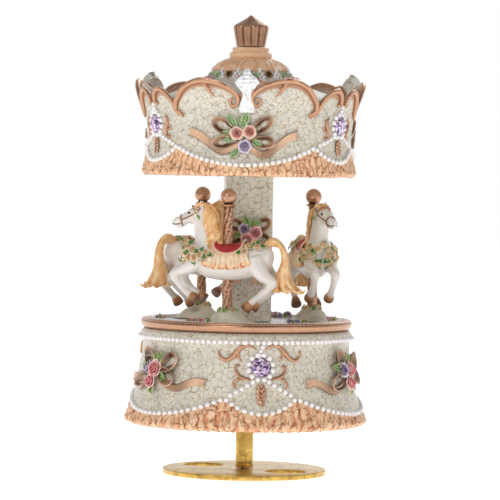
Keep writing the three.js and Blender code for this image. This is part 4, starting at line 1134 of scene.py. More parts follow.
for third in range(3):
    number = third + 1
    place_piece(
        f"pole_rod_{number}", moved(pole_shape(third), at_pole(third)), rose_gold, "carousel",
        [f"pole_{number}"],
    )
    place_piece(
        f"mound_hill_{number}", moved(mound_shape(third), at_pole(third)), cream_hill, "carousel",
        [f"mound_{number}"],
    )
    flowers = painted_shape()
    for i in range(7):
        turn = math.tau * i / 7 + third
        flower = bmesh.new()
        if i % 2:
            rose(flower, (0, 0, 0), 1.35, CREAM_FLOWER, 0, i)
        else:
            leaf(flower, (0, 0, -1.2), (0.3, 0, 1.5), 1.9, 0.3)
        spot = standing(3.1 * math.sin(turn), -3.1 * math.cos(turn), mound_high.z - 0.5, turn, -0.5)
        gathered(flowers, moved(flower, spot))
    place_piece(
        f"mound_flowers_{number}", moved(flowers, at_pole(third)), painted_flowers, "carousel"
    )

# ------------------------------------------------------------------------------------------------
# Horses: three jumping horses cast in ivory resin, each pierced by its pole. A mane and tail of combed
# locks, a red saddle over a pleated peach blanket, a garland, a bridle and gilded hooves are painted on.
# A horse is shaped heading +X with its left side towards +Y, and then turned round to its pole.

IVORY = pen(232, 226, 219)
IVORY_SHADE = pen(206, 192, 180)
HOOF = (pen(96, 52, 26), pen(190, 130, 78))
MANE = (pen(218, 150, 86), pen(250, 216, 162))

# Along the body: distance ahead of the pole, height of the middle, half width, half height.
torso = [
    (-18.2, 86.2, 1.6, 1.8), (-17.3, 86.0, 3.6, 3.6), (-15.2, 85.6, 5.3, 5.1), (-11.5, 84.8, 6.2, 6.2),
    (-6.5, 83.7, 5.8, 6.3), (-1.5, 83.2, 5.8, 6.3), (3.5, 83.3, 5.9, 6.5), (8, 84.3, 5.9, 6.8),
    (12, 85.6, 5.4, 6.2), (14.8, 86.2, 4.1, 4.7), (16.2, 86.3, 2.2, 2.6),
]


def body_at(ahead):
    """Middle height, half width and half height of the body."""
    places = [t[0] for t in torso]
    return [float(np.interp(ahead, places, [t[i] for t in torso])) for i in (1, 2, 3)]


def lofted(bm, rings):
    """Bridges oval rings into a limb: each has a centre, a facing, a half width and a half height."""
    part = bmesh.new()
    hoops = []
    for centre, facing, wide, tall in rings:
        forward = Vector(facing).normalized()
        level = Vector((0, 1, 0))
        up = forward.cross(level).normalized()
        frame_of_ring = Matrix((
            (level.x * wide, up.x * tall, forward.x, centre[0]),
            (level.y * wide, up.y * tall, forward.y, centre[1]),
            (level.z * wide, up.z * tall, forward.z, centre[2]),
            (0, 0, 0, 1),
        ))
        hoop = bmesh.ops.create_circle(part, segments=18, radius=1, matrix=frame_of_ring)["verts"]
        hoops.append([e for e in part.edges if e.verts[0] in hoop and e.verts[1] in hoop])
    for near, far in zip(hoops, hoops[1:]):
        bmesh.ops.bridge_loops(part, edges=near + far)
    for end in (hoops[0], hoops[-1]):
        bmesh.ops.contextual_create(part, geom=end)
    bmesh.ops.recalc_face_normals(part, faces=part.faces)
    gathered(bm, part)


def melted(bm, voxel, rounds):
    """Melts overlapping shapes into one closed skin."""
    shape = bpy.data.meshes.new("melting")
    bm.to_mesh(shape)
    bm.free()
    lump = bpy.data.objects.new("melting", shape)
    bpy.context.scene.collection.objects.link(lump)
    skin = lump.modifiers.new("skin", "REMESH")
    skin.mode = "VOXEL"
    skin.voxel_size = voxel
    bpy.context.view_layer.update()
    done = bpy.data.meshes.new_from_object(lump.evaluated_get(bpy.context.evaluated_depsgraph_get()))
    bpy.data.objects.remove(lump)
    bpy.data.meshes.remove(shape)
    result = bmesh.new()
    result.from_mesh(done)
    bpy.data.meshes.remove(done)
    for _ in range(rounds):
        bmesh.ops.smooth_vert(
            result, verts=result.verts, factor=0.5, use_axis_x=True, use_axis_y=True, use_axis_z=True
        )
    return result


def turn_head(bm, head_turn):
    """Turns what is on the head about the top of the neck."""
    bmesh.ops.rotate(bm, verts=bm.verts, cent=(9.5, 0, 101), matrix=Matrix.Rotation(head_turn, 3, "Z"))


def horse_skin(head_turn):
    """Body, neck, head, ears and legs as one skin."""
    bm = bmesh.new()
    lofted(bm, [((x, 0, z), (1, 0, 0), w, h) for x, z, w, h in torso])
    neck = [
        ((7.2, 0, 85.5), (0.30, 0, 1), 5.0, 6.8), ((8.2, 0, 90), (0.22, 0, 1), 4.2, 5.6),
        ((9.0, 0, 94), (0.18, 0, 1), 3.5, 4.6), ((9.6, 0, 98), (0.12, 0, 1), 3.1, 4.1),
        ((10.2, 0, 101.5), (0.1, 0, 1), 2.9, 3.6), ((10.6, 0, 104), (0.1, 0, 1), 2.4, 2.8),
        ((10.7, 0, 105.3), (0.1, 0, 1), 1.2, 1.6),
    ]
    lofted(bm, neck)
    head = bmesh.new()
    lofted(head, [
        ((8.6, 0, 102.6), (1, 0, -0.3), 1.6, 1.8), ((10.0, 0, 102.5), (1, 0, -0.3), 2.5, 3.0),
        ((12.4, 0, 101.9), (1, 0, -0.34), 2.9, 3.5), ((14.6, 0, 101.2), (1, 0, -0.36), 2.65, 3.0),
        ((16.8, 0, 100.5), (1, 0, -0.36), 2.0, 2.2), ((18.8, 0, 99.7), (1, 0, -0.36), 1.7, 1.75),
        ((20.4, 0, 99.2), (1, 0, -0.3), 1.75, 1.7), ((21.6, 0, 98.9), (1, 0, -0.2), 1.4, 1.3),
        ((22.2, 0, 98.8), (1, 0, -0.2), 0.7, 0.6),
    ])
    tendril(head, [
        (17.2, 0, 98.6, 1.1), (18.8, 0, 98.0, 1.1), (20.2, 0, 97.6, 0.95), (20.8, 0, 97.5, 0.5),
    ], 3)
    for side in (-1, 1):
        tendril(head, [
            (13.2, side * 1.5, 100.3, 1.6), (12.2, side * 1.6, 99.2, 1.7), (11.4, side * 1.4, 98.9, 1.3),
        ], 3)
        tendril(head, [(14.8, side * 2.0, 103.4, 0.6), (16.0, side * 1.75, 103.2, 0.6)], 3)
        tendril(head, [(21.0, side * 1.0, 99.6, 0.55), (21.5, side * 0.85, 99.2, 0.5)], 3)
        tendril(head, [
            (10.2, side * 1.5, 104.2, 0.9), (10.5, side * 1.7, 105.6, 0.85), (10.9, side * 1.9, 107.0, 0.5),
            (11.1, side * 1.9, 107.7, 0.15),
        ], 3)
    turn_head(head, head_turn)
    gathered(bm, head)
    for side, lead in ((1, 0.0), (-1, -1.0)):
        tendril(bm, [
            (10.0, side * 3.2, 84.5, 3.2), (13.0, side * 3.8, 82.4, 2.9), (16.4, side * 4.0, 80.9, 2.2),
            (19.2 + lead, side * 4.0, 79.9, 2.0), (20.2 + lead, side * 4.0, 78.6, 1.95),
            (18.8 + lead, side * 3.9, 75.9, 1.5), (16.6 + lead, side * 3.8, 73.3, 1.4),
            (14.6 + lead, side * 3.8, 71.6, 1.55), (13.2 + lead, side * 3.8, 70.6, 1.4),
        ], 4, 3)
        tendril(bm, [
            (-12.0, side * 3.0, 85.5, 4.2), (-13.4, side * 3.8, 82.0, 3.7), (-15.6, side * 4.1, 79.2, 2.9),
            (-18.2 + lead * 0.6, side * 4.1, 77.4, 2.2), (-19.4 + lead * 0.6, side * 4.1, 76.3, 1.95),
            (-17.6 + lead * 0.6, side * 4.0, 74.2, 1.6), (-14.6 + lead * 0.6, side * 4.0, 71.6, 1.45),
            (-11.6 + lead * 0.6, side * 4.0, 69.2, 1.4), (-10.2 + lead * 0.6, side * 4.0, 68.1, 1.5),
        ], 4, 3)
    skin = melted(bm, 0.42, 4)
    paint = skin.verts.layers.float_color.new("paint")
    # Ivory in soft random patches of a darker tone, and a painted shade that deepens downwards below z 79,
    # over the legs under the body.
    for v in skin.verts:
        shade = 0.5 + 0.8 * noise.noise(v.co * 0.22)
        v[paint] = mixed(IVORY, IVORY_SHADE, 0.45 * shade + 0.3 * max(0, (79 - v.co.z) / 10))
    return skin


def hoof(bm, fetlock, toe):
    """A gilded hoof: a flared cone with a flat sole."""
    fetlock, toe = Vector(fetlock), Vector(toe)
    shape = bmesh.new()
    aim = (toe - fetlock).to_track_quat("Z", "Y").to_matrix().to_4x4()
    length = (toe - fetlock).length
    spun(shape, [
        (0, -0.3), (1.35, 0), (1.75, length * 0.25), (2.15, length * 0.8), (2.05, length), (0, length),
    ], 20, closed=False)
    paint = shape.verts.layers.float_color.new("paint")
    for v in shape.verts:
        v[paint] = mixed(HOOF[1], HOOF[0], v.co.z / length * 0.9 + 0.3 * noise.noise(v.co * 0.9))
    gathered(bm, moved(shape, Matrix.Translation(fetlock) @ aim))


def lock(bm, points, seed):
    """One combed lock of hair with its own shade."""
    strand = bmesh.new()
    tendril(strand, points, 5)
    paint = strand.verts.layers.float_color.new("paint")
    tone = random.Random(seed).uniform(-0.2, 0.45)
    for v in strand.verts:
        v[paint] = mixed(MANE[0], MANE[1], 0.35 + tone + 0.5 * noise.noise(v.co * 0.5))
    gathered(bm, strand)


def part_way(outline, share):
    """The numbers of an outline, a share (0 to 1) of the way along its points."""
    place = share * (len(outline) - 1)
    i = min(int(place), len(outline) - 2)
    return [a + (b - a) * (place - i) for a, b in zip(outline[i], outline[i + 1])]


def hair(head_turn):
    """Mane down both sides of the neck, forelock, and a high tail that falls in curling locks."""
    bm = painted_shape()
    pick = random.Random(5)
    crest = [(8.0, 105.6), (6.3, 104.6), (5.0, 102.4), (4.1, 99.2), (3.3, 96), (2.4, 93), (1.8, 91.2)]
    for side in (-1, 1):
        for i in range(32):
            x, z = part_way(crest, i / 31)
            wave = pick.uniform(-0.7, 0.7)
            reach = pick.uniform(0.75, 1.1)
            ahead = 0.25 + 0.75 * min(i / 31 * (len(crest) - 1) / 3, 1)
            lock(bm, [
                (x + 0.3, side * 0.2, z - 0.1, 0.6), (x + 0.6 + wave, side * 1.9, z - 0.9, 0.8),
                (x + 2.2 * ahead + wave * 1.2, side * 3.2, z - 2.7 * reach, 0.8),
                (x + 1.4 * ahead - wave, side * (3.6 + 0.02 * (100 - z)), z - 4.6 * reach, 0.7),
                (x + 3.2 * ahead + wave, side * (3.8 + 0.04 * (100 - z)), z - 6.0 * reach, 0.5),
                (x + 3.0 * ahead - wave * 0.5, side * (3.9 + 0.04 * (100 - z)), z - 7.2 * reach, 0.15),
            ], i + 40 * side)
    lock(bm, [(x, 0, z, 1.0) for x, z in crest], 3)
    top = painted_shape()
    for i in range(7):
        y = (i - 3) * 0.55
        lock(top, [
            (8.6, y * 0.7, 105.5, 0.6), (10.4, y, 106.0, 0.8), (12.2, y * 1.15, 105.6 - 0.1 * abs(y), 0.7),
            (13.8 - 0.3 * abs(y), y * 1.2, 104.7 - 0.2 * abs(y), 0.4),
            (14.6 - 0.3 * abs(y), y * 1.1, 104.0, 0.12),
        ], 70 + i)
    turn_head(top, head_turn)
    gathered(bm, top)
    for i in range(22):
        turn = math.tau * i / 22
        y, z = 1.5 * math.sin(turn), 1.15 * math.cos(turn)
        flick = pick.uniform(-1.6, 1.6)
        spread = pick.uniform(0.9, 1.25)
        outward = -z * 1.2
        lock(bm, [
            (-14.6, y * 0.4, 90.2 + z * 0.3, 0.7), (-17.2, y * 0.7, 91.9 + z * 0.8, 0.8),
            (-20.4 - 0.3 * outward, y * 0.8, 91.3 + z * 0.8, 0.8),
            (-22.5 + 0.35 * outward, y * 0.8, 88.2, 0.78),
            (-23.0 + 0.6 * outward, y * 0.9, 84, 0.85), (-22.4 + 1.2 * outward * spread, y * 1.3, 79.6, 0.9),
            (-22.6 + 2.0 * outward * spread + 0.3 * flick, y * 1.9, 76.4, 0.9),
            (-23.2 + 2.9 * outward * spread + flick, y * 2.2, 74.0, 0.75),
            (-24.6 + 3.3 * outward * spread + 1.7 * flick, y * 2.4, 72.6 + abs(flick) * 0.8, 0.45),
            (-25.6 + 3.4 * outward * spread + 2.0 * flick, y * 2.5, 73.6 + abs(flick), 0.15),
        ], 90 + i)
    return bm


def wrap_on_body(ahead, round_, out):
    """A point on the body's back: how far round it from the spine, and how far off the skin."""
    middle_, wide, tall = body_at(ahead)
    return Vector((ahead, math.sin(round_) * (wide + out), middle_ + math.cos(round_) * (tall + out)))


def tack():
    """Blanket, saddle, garland, bridle and eyes."""
    bm = painted_shape()
    cloth = (pen(222, 172, 118), pen(246, 226, 196))
    frill = (pen(212, 120, 54), pen(248, 210, 164))

    def blanket(t, s):
        pleat = math.sin(t * 58 + 0.9 * math.sin(t * 17))
        low = abs(s)
        ahead = (t - 0.5) * (11.5 + 7.5 * low) - 0.9 - 0.5 * low
        spot = wrap_on_body(ahead, s * 1.74, 0.42 + 0.2 * low + 0.26 * low * pleat)
        # Painted light: lighter on the pleats' ridges, painted shade in their hollows, over a random mottle.
        return spot, mixed(cloth[1], cloth[0], 0.4 - 0.22 * pleat * low + 0.5 * noise.noise(spot * 0.5))
    sheet(bm, 90, 26, blanket, -0.3)
    for side in (-1, 1):
        for row in range(2):
            def edge(t, s, side=side, row=row):
                wave = math.sin(t * 62 + row * 1.5 + 1.5 * math.sin(t * 23))
                ahead = (t - 0.5) * 19.4 - 1.4
                drop = 1.64 + row * 0.13 + 0.09 * s + 0.03 * math.sin(t * 41 + row)
                spot = wrap_on_body(ahead, side * drop, 0.75 + 0.36 * wave - 0.12 * row)
                # Painted light: lighter on the frill's crests, painted shade in its hollows, over a random
                # mottle.
                return spot, mixed(frill[0], frill[1], 0.45 + 0.5 * wave + 0.6 * noise.noise(spot * 0.9))
            sheet(bm, 84, 3, edge, 0.3)

    seat_paint = (pen(112, 10, 22), pen(196, 34, 48))
    piping = pen(236, 200, 168)

    def saddle(t, s):
        ahead = 5.0 - 12.6 * t
        side = 0.66 + 0.44 * math.sin(math.pi * t) ** 0.6
        rise = 2.6 * max(0, 1 - t * 4) ** 1.5 + 1.5 * max(0, t * 4 - 3) ** 1.5
        spot = wrap_on_body(ahead, s * side, 0.9 + rise * (1 - 0.5 * abs(s)))
        shade = 0.75 + 0.5 * noise.noise(spot * 0.8) - 0.5 * math.sin(math.pi * t) * (1 - abs(s))
        if abs(s) > 0.88 or t < 0.03 or t > 0.97:
            return spot, piping
        return spot, mixed(seat_paint[0], seat_paint[1], shade)
    sheet(bm, 34, 26, saddle, 0.7)

    pick = random.Random(8)
    garland = [
        (ahead, s * round_, 0.7) for s in (-1, 1) for ahead, round_ in (
            (6.8, 1.12), (9.2, 1.3), (11.4, 1.55), (13.6, 1.62), (15.4, 1.35), (15.6, 2.2),
            (12.4, 1.15), (14.6, 1.0), (-8.2, 0.98), (-9.6, 0.6), (-11.8, 0.3), (-13.2, 0.75),
            (16.5, 0.75), (16.6, 2.5),
        )
    ] + [(15.9, 0.0, 0.9), (17.0, 1.57, -1.0)]
    for i, (ahead, round_, out) in enumerate(garland):
        spot = wrap_on_body(ahead, round_, out)
        middle_, _, _ = body_at(ahead)
        away = (spot - Vector((ahead - (2.0 if ahead > 0 else -1.0), 0, middle_))).normalized()
        flower = bmesh.new()
        rose(flower, (0, 0, 0), pick.uniform(1.7, 2.1), CREAM_FLOWER, 0, i)
        aim = away.to_track_quat("-Y", "Z").to_matrix().to_4x4()
        gathered(bm, moved(flower, Matrix.Translation(spot) @ aim))
        for _ in range(1 + i % 2):
            green = bmesh.new()
            lie = pick.uniform(0, math.tau)
            stalk = Vector((math.cos(lie), -0.3, math.sin(lie)))
            point = Vector((3.3 * math.cos(lie), 0, 3.3 * math.sin(lie)))
            leaf(green, stalk, point, 1.7, 0.3, (pen(14, 80, 24), pen(90, 150, 66)))
            gathered(bm, moved(green, Matrix.Translation(spot) @ aim))

    face = bmesh.new()
    layer = face.verts.layers.float_color.new("paint")
    for side in (-1, 1):
        for spot, size in (((15.2, side * 2.12, 102.6), 0.72), ((21.7, side * 0.95, 99.3), 0.28)):
            place = Matrix.Translation(spot) @ Matrix.Diagonal((size, size * 0.6, size * 0.75, 1))
            bmesh.ops.create_icosphere(face, subdivisions=3, radius=1, matrix=place)
        tendril(face, [
            (22.2, side * 0.5, 98.3, 0.2), (20.6, side * 1.25, 98.1, 0.22), (18.8, side * 1.45, 98.4, 0.15),
        ], 3)
    for v in face.verts:
        v[layer] = pen(24, 16, 14)
    bridle = bmesh.new()
    gathered(bridle, face)
    strap = (pen(120, 74, 44), pen(176, 122, 80))

    def rein(points, radius):
        band = bmesh.new()
        tendril(band, [(*p, radius) for p in points])
        tint = band.verts.layers.float_color.new("paint")
        for v in band.verts:
            v[tint] = mixed(strap[0], strap[1], 0.5 + noise.noise(v.co))
        gathered(bridle, band)
    noseband = []
    for a in np.linspace(0, math.tau, 17):
        noseband.append((18.6 + 0.45 * math.cos(a) - 0.15, 2.0 * math.sin(a), 99.7 + 2.1 * math.cos(a)))
    rein(noseband, 0.27)
    for side in (-1, 1):
        rein([
            (18.4, side * 1.95, 99.8), (15.6, side * 2.45, 101.0), (12.6, side * 2.95, 102.6),
            (10.8, side * 2.6, 104.6),
        ], 0.27)
        rein([
            (12.4, side * 2.9, 102.7), (13.6, side * 2.4, 104.4), (14.2, side * 1.4, 105.2), (14.3, 0, 105.4),
        ], 0.24)
        blossom = bmesh.new()
        rose(blossom, (0, 0, 0), 0.85, CREAM_FLOWER, 0, 2)
        aim = Vector((0, side, 0)).to_track_quat("-Y", "Z").to_matrix().to_4x4()
        gathered(bridle, moved(blossom, Matrix.Translation((12.4, side * 3.0, 102.6)) @ aim))
        green = bmesh.new()
        leaf(green, (11.9, 0, 101.9), (10.9, 0, 100.1), 1.2, 0.2)
        gathered(bridle, moved(green, Matrix.Translation((0, side * 3.15, 0))))
    return bm, bridle


def whole_horse(head_turn):
    horse = horse_skin(head_turn)
    gathered(horse, hair(head_turn))
    trappings, face = tack()
    gathered(horse, trappings)
    turn_head(face, head_turn)
    gathered(horse, face)
    for side, lead in ((1, 0.0), (-1, -1.0)):
        hoof(horse, (13.7 + lead, side * 3.8, 71.2), (11.0 + lead, side * 3.8, 69.2))
        hoof(horse, (-10.6 + lead * 0.6, side * 4.0, 68.6), (-8.4 + lead * 0.6, side * 4.0, 65.8))
    return horse


painted_ivory = painted_finish("painted_ivory", 0.42, 0.3, 0.05, 0.16)
for third, head_turn in enumerate((0.1, 0.26, 0.0)):
    number = third + 1
    stallion = whole_horse(head_turn)
    bmesh.ops.rotate(stallion, verts=stallion.verts, cent=(0, 0, 0), matrix=Matrix.Rotation(math.pi, 3, "Z"))
    place_piece(
        f"ivory_horse_{number}", moved(stallion, at_pole(third)), painted_ivory, "carousel",
        [f"horse_{number}"], crease=70,
    )

# ------------------------------------------------------------------------------------------------
# Canopy crown: one open resin casting on the column. Its crackle-glazed wall flares upwards and ends in
# arches, two over each bow and two over each stone, and a peach ruffle closes its foot.

CROWN_FOOT = node_box("canopy_crown")[0].z
BIG_PANEL = -2.5
SMALL_PANEL = BIG_PANEL + 60.5
crown_levels = [0, 0.8, 1.6, 3.2, 6.9, 9.9, 14, 19, 24.5, 29, 33.9, 37]
crown_radii = [41.2, 41.7, 41.9, 41.4, 40.5, 40.0, 40.0, 40.3, 41.0, 42.3, 43.5, 43.9]


def crown_wall(height):
    """Outer radius of the crown, by the height above its foot."""
    return float(np.interp(height, crown_levels, crown_radii))


# The top edge: degrees away from the middle of a big panel, and the height above the foot there.
edge_turns = [0, 4, 7, 12, 16, 21.5, 26, 30, 34, 37, 39.3, 41, 43, 45.5, 48.5, 51.4, 54.5, 57, 60]
edge_levels = [
    30.6, 31.6, 33.1, 34.8, 35.5, 35.9, 35.6, 34.6, 32.6, 30.2, 27.4, 26.7, 28.4, 30.8, 32.3, 32.7, 31.8,
    30.2, 29.2,
]


def crown_edge(angle):
    """Height of the crown's arched top edge."""
    away = abs((angle - BIG_PANEL + 180) % 120 - 60)
    return float(np.interp(away, edge_turns, edge_levels))


def crown_hem(angle):
    return scallop(angle - BIG_PANEL + 60, 19, 5.4, 4.1, 11.0)


crown_glaze = crackle_glaze("crown_crackle_glaze")
crown = bmesh.new()
top_level = 36.0
crown_rows = steps_up(0, 12, 24) + steps_up(12.8, top_level, 30)
crown_outline = [(crown_wall(h), CROWN_FOOT + h) for h in crown_rows]
crown_outline += [(crown_wall(top_level) - 0.7, CROWN_FOOT + top_level + 0.15)]
crown_outline += [(crown_wall(h) - 1.6 - 0.03 * (36 - h), CROWN_FOOT + h) for h in steps_up(top_level, 3, 16)]
crown_outline += [(38.4, CROWN_FOOT + 0.6), (38.8, CROWN_FOOT)]
spun(crown, crown_outline, 540)
BEND = 21.0
gilt = crown.verts.layers.float.new("gilt")
for v in crown.verts:
    height = v.co.z - CROWN_FOOT
    if height > BEND:
        drawn = (crown_edge(angle_of(v.co)) - BEND) / (top_level - BEND)
        low = BEND + (height - BEND) * drawn
        reach = math.hypot(v.co.x, v.co.y)
        pull = crown_wall(low) - crown_wall(height)
        v.co.x *= 1 + pull / reach
        v.co.y *= 1 + pull / reach
        v.co.z = CROWN_FOOT + low
        v[gilt] = min(max((low - crown_edge(angle_of(v.co)) + 2.2) / 0.5, 0), 1)
ruffled(crown, CROWN_FOOT, crown_hem, 110, 0.8, 0.15, 12, lambda height: 39.2)
place_piece("crown_shell", crown, crown_glaze, "carousel", ["canopy_crown"], crease=75)

crown_pearls = bmesh.new()
hem_line = [(a, crown_hem(a) + 0.3) for a in np.linspace(0, 360, 721)[:-1]]
set_pearls(crown_pearls, crown_wall, CROWN_FOOT, off_wall(evenly(on_wall(hem_line), 2.36)), 0.98, 0.5)
for third in range(3):
    centre = SMALL_PANEL + 120 * third
    for side in (-1, 1):
        strand_up = [(centre + side * 18.6, 11.4), (centre + side * 11, 13.4), (centre + side * 4.4, 15.6)]
        set_pearls(crown_pearls, crown_wall, CROWN_FOOT, off_wall(evenly(on_wall(strand_up), 2.2))[1:], 0.9)
    for spoke in range(12):
        turn = math.tau * (spoke + 0.5) / 12
        along = math.degrees(4.5 * math.sin(turn) / WALL_ROUND)
        spot = [(centre + along, 19.9 + 4.5 * math.cos(turn))]
        set_pearls(crown_pearls, crown_wall, CROWN_FOOT, spot, 1.0, 0.5)
    set_pearls(crown_pearls, crown_wall, CROWN_FOOT, [(centre, 25.6), (centre, 27.3)], 0.85, 0.5)
    set_stone(
        f"crown_stone_{third + 1}", crown_wall, centre, 19.9, CROWN_FOOT, 3.6, f"canopy_gem_{third + 1}"
    )
place_piece("crown_pearls", crown_pearls, pearl, "carousel")

# ------------------------------------------------------------------------------------------------
# Crown scrollwork: rose-gold scrolls that edge every arch, curl inwards beside each plume, and cross
# where two panels meet, with small tendrils round each stone and a leaf below it.

crown_scrollwork = bmesh.new()
for side, lift in ((-1, 0.0), (1, 0.2)):
    def big(points, side=side, lift=lift):
        return [(side * a, h + lift, r) for a, h, r in points]
    scroll(crown_scrollwork, big([
        (36.0, 22.6, 0.35), (36.8, 23.7, 0.6), (38.6, 24.3, 0.85), (40.2, 25.2, 0.95), (39.6, 27.6, 0.95),
        (37.3, 30.0, 1.0), (34.0, 32.8, 1.0), (29.8, 34.9, 1.05), (25.6, 36.0, 1.15), (21.7, 36.3, 1.2),
        (16.5, 35.8, 1.1), (11.9, 34.8, 1.0), (8.6, 33.6, 0.95), (5.4, 31.8, 0.9), (3.7, 29.8, 0.85),
        (3.9, 27.8, 0.8), (5.6, 26.7, 0.75), (7.4, 27.2, 0.65), (7.7, 28.6, 0.6), (6.6, 29.4, 0.5),
        (5.7, 28.8, 0.4),
    ]), 0.35)
    scroll(crown_scrollwork, big([
        (20.8, 35.8, 0.8), (19.6, 33.6, 0.7), (17.4, 31.4, 0.5), (15.8, 30.2, 0.2),
    ]))
    scroll(crown_scrollwork, big([(19.0, 33.4, 0.5), (17.8, 33.2, 0.4), (16.6, 33.6, 0.15)]))
scroll(crown_scrollwork, [(3.4, 32.2, 0.7), (5.6, 34.6, 0.6), (8.4, 36.0, 0.5), (11.4, 35.6, 0.2)], 0.35)
stone_scrollwork = bmesh.new()
for side in (-1, 1):
    def small(points, side=side):
        return [(side * a, h, r) for a, h, r in points]
    scroll(stone_scrollwork, small([
        (23.6, 22.4, 0.35), (22.6, 23.4, 0.6), (20.4, 24.2, 0.85), (18.8, 26.2, 0.9), (16.4, 29.4, 0.95),
        (12.8, 32.0, 1.0), (8.8, 33.1, 1.05), (5.2, 32.4, 0.95), (2.9, 30.4, 0.85), (2.6, 28.4, 0.75),
        (3.8, 27.4, 0.6), (4.8, 28.1, 0.45),
    ]), 0.35)
    scroll(stone_scrollwork, small([
        (9.4, 22.8, 0.25), (10.8, 22.0, 0.55), (11.2, 20.4, 0.75), (10.2, 18.6, 0.85), (9.4, 16.9, 0.75),
        (10.4, 15.2, 0.6), (12.2, 14.8, 0.45), (12.6, 15.9, 0.25),
    ]))
    scroll(stone_scrollwork, small([
        (10.0, 18.0, 0.6), (12.0, 17.6, 0.5), (13.4, 18.6, 0.3), (13.2, 19.6, 0.15),
    ]))
ribbed_leaf(stone_scrollwork, 14.2, 8.6, 3.0)
all_scrolls = bmesh.new()
for third in range(3):
    gathered(all_scrolls, wrapped(crown_scrollwork, crown_wall, BIG_PANEL + 120 * third, CROWN_FOOT))
    gathered(all_scrolls, wrapped(stone_scrollwork, crown_wall, SMALL_PANEL + 120 * third, CROWN_FOOT))
crown_scrollwork.free()
stone_scrollwork.free()
place_piece("crown_scrolls", all_scrolls, rose_gold, "carousel")

# ------------------------------------------------------------------------------------------------
# Crown bows: like those on the base but spread flat, with two cream-edged red roses over a lavender one.


def crown_bow():
    """The flat relief of one crown bow, centred on its knot at 14.5 mm above the foot."""
    bm = painted_shape()
    for root, tip, width in (
        ((-2.2, -0.3, 15.6), (-11.6, -0.5, 20.9), 4.6), ((2.2, -0.3, 16.0), (9.8, -0.5, 21.6), 3.6),
        ((-2, -0.3, 13.6), (-11.6, -0.5, 12.6), 3.6), ((2, -0.3, 13.6), (10.6, -0.5, 13.0), 3.6),
    ):
        loop(bm, root, tip, width, 1.8, RIBBON_SHADE_TO_HIGHLIGHT)
    tail(bm, [(-1, 12.8), (-5, 10.6), (-9.4, 9.8), (-14, 12.4), (-19, 15.6), (-23.2, 16.9)], 3.0, RIBBON_SHADE_TO_HIGHLIGHT)
    tail(bm, [(1, 12.4), (4, 9.6), (8.0, 8.4), (13, 11.4), (18, 15.0), (22, 16.1)], 3.0, RIBBON_SHADE_TO_HIGHLIGHT)
    for base, tip, width in (
        ((-3.4, -1, 18.6), (-6.6, -0.7, 23.8), 3.0), ((-0.6, -1, 19), (1.0, -0.7, 24.8), 3.2),
        ((-4.6, -1, 15.8), (-9.4, -0.7, 16.6), 2.8), ((-2.4, -1, 10.6), (-5.6, -0.7, 7.0), 2.8),
        ((3.4, -1, 13.8), (6.6, -0.7, 11.0), 3.0), ((-4.4, -1, 14.6), (-8.6, -0.7, 13.9), 2.4),
        ((0.6, -1, 18.6), (-2.6, -0.7, 22.6), 2.6),
    ):
        leaf(bm, base, tip, width, 0.5, (pen(30, 104, 32), pen(216, 230, 170)))
    rose(bm, (-3.1, -1.3, 16.4), 2.7, ROSE_RED, 0.1, 1)
    rose(bm, (1.9, -1.3, 17.0), 2.7, ROSE_RED, -0.1, 2)
    rose(bm, (0.1, -1.3, 11.4), 2.7, ROSE_LAVENDER, 0.0, 3)
    return bm


flat_bow = crown_bow()
for third in range(3):
    bow = wrapped(flat_bow, crown_wall, BIG_PANEL + 120 * third, CROWN_FOOT)
    number = third + 1
    place_piece(
        f"crown_bow_{number}", bow, painted_bow, "carousel", [f"canopy_spray_{number}"],
        crease=60,
    )
flat_bow.free()

# ------------------------------------------------------------------------------------------------
# Plumes: white ornaments pegged to the wall at the middle of each big panel. The front one is cut resin,
# a kite of small facets over a ribbed fan. The other two are cast scallop shells, rounded behind.


def cut_ice():
    """White cut resin that glitters: hard facets, each painted a slightly different white as a painted
    sparkle.
    """
    finish, tree, shader, place = new_finish("cut_ice", 0.08, coat=1.0, specular=0.8)
    flakes = wire(tree, "ShaderNodeTexVoronoi", {"Vector": place, "Scale": 0.9}).outputs["Color"]
    shade = wire(tree, "ShaderNodeSeparateColor", {0: flakes}).outputs[0]
    # Painted sparkle: each facet's white stands in for the light it throws back.
    tone = ramp(tree, shade, (0.1, pen(206, 208, 214)), (0.4, pen(238, 238, 240)), (0.75, pen(255, 255, 255)))
    tree.links.new(tone, shader.inputs["Base Color"])
    emboss(tree, shader, shade, 0.6, 0.0005)
    return finish


ice = cut_ice()


def plume_shape():
    """A flat plume: an outline of (half width, height, depth), raised into crossed facets."""
    bm = bmesh.new()
    outline = [
        (0.2, 24.2, 0.8), (2.6, 24.3, 0.9), (3.1, 25.8, 1.2), (2.4, 28.2, 1.3), (1.6, 30.6, 1.1),
        (1.6, 31.6, 1.0), (3.0, 33.4, 1.2), (4.5, 35.6, 1.3), (3.4, 37.4, 1.25), (1.7, 38.8, 1.0),
        (1.1, 39.8, 0.8), (0.9, 40.6, 0.5), (0.2, 40.9, 0.2),
    ]

    def face(t, s):
        wide, level, deep = part_way(outline, t)
        if level < 31:
            rib = 0.3 * math.cos(s * 14)
        else:
            across, up = s * wide * 2.6, level * 2.1
            rib = 0.38 * math.sin(across + up) * math.sin(up - across)
        out = 0.9 + deep * (1 - abs(s) ** 1.6) + rib * (1 - abs(s) ** 3)
        return (s * wide, -out, level), (1, 1, 1, 1)
    sheet(bm, 44, 16, face, -0.7)
    return bm


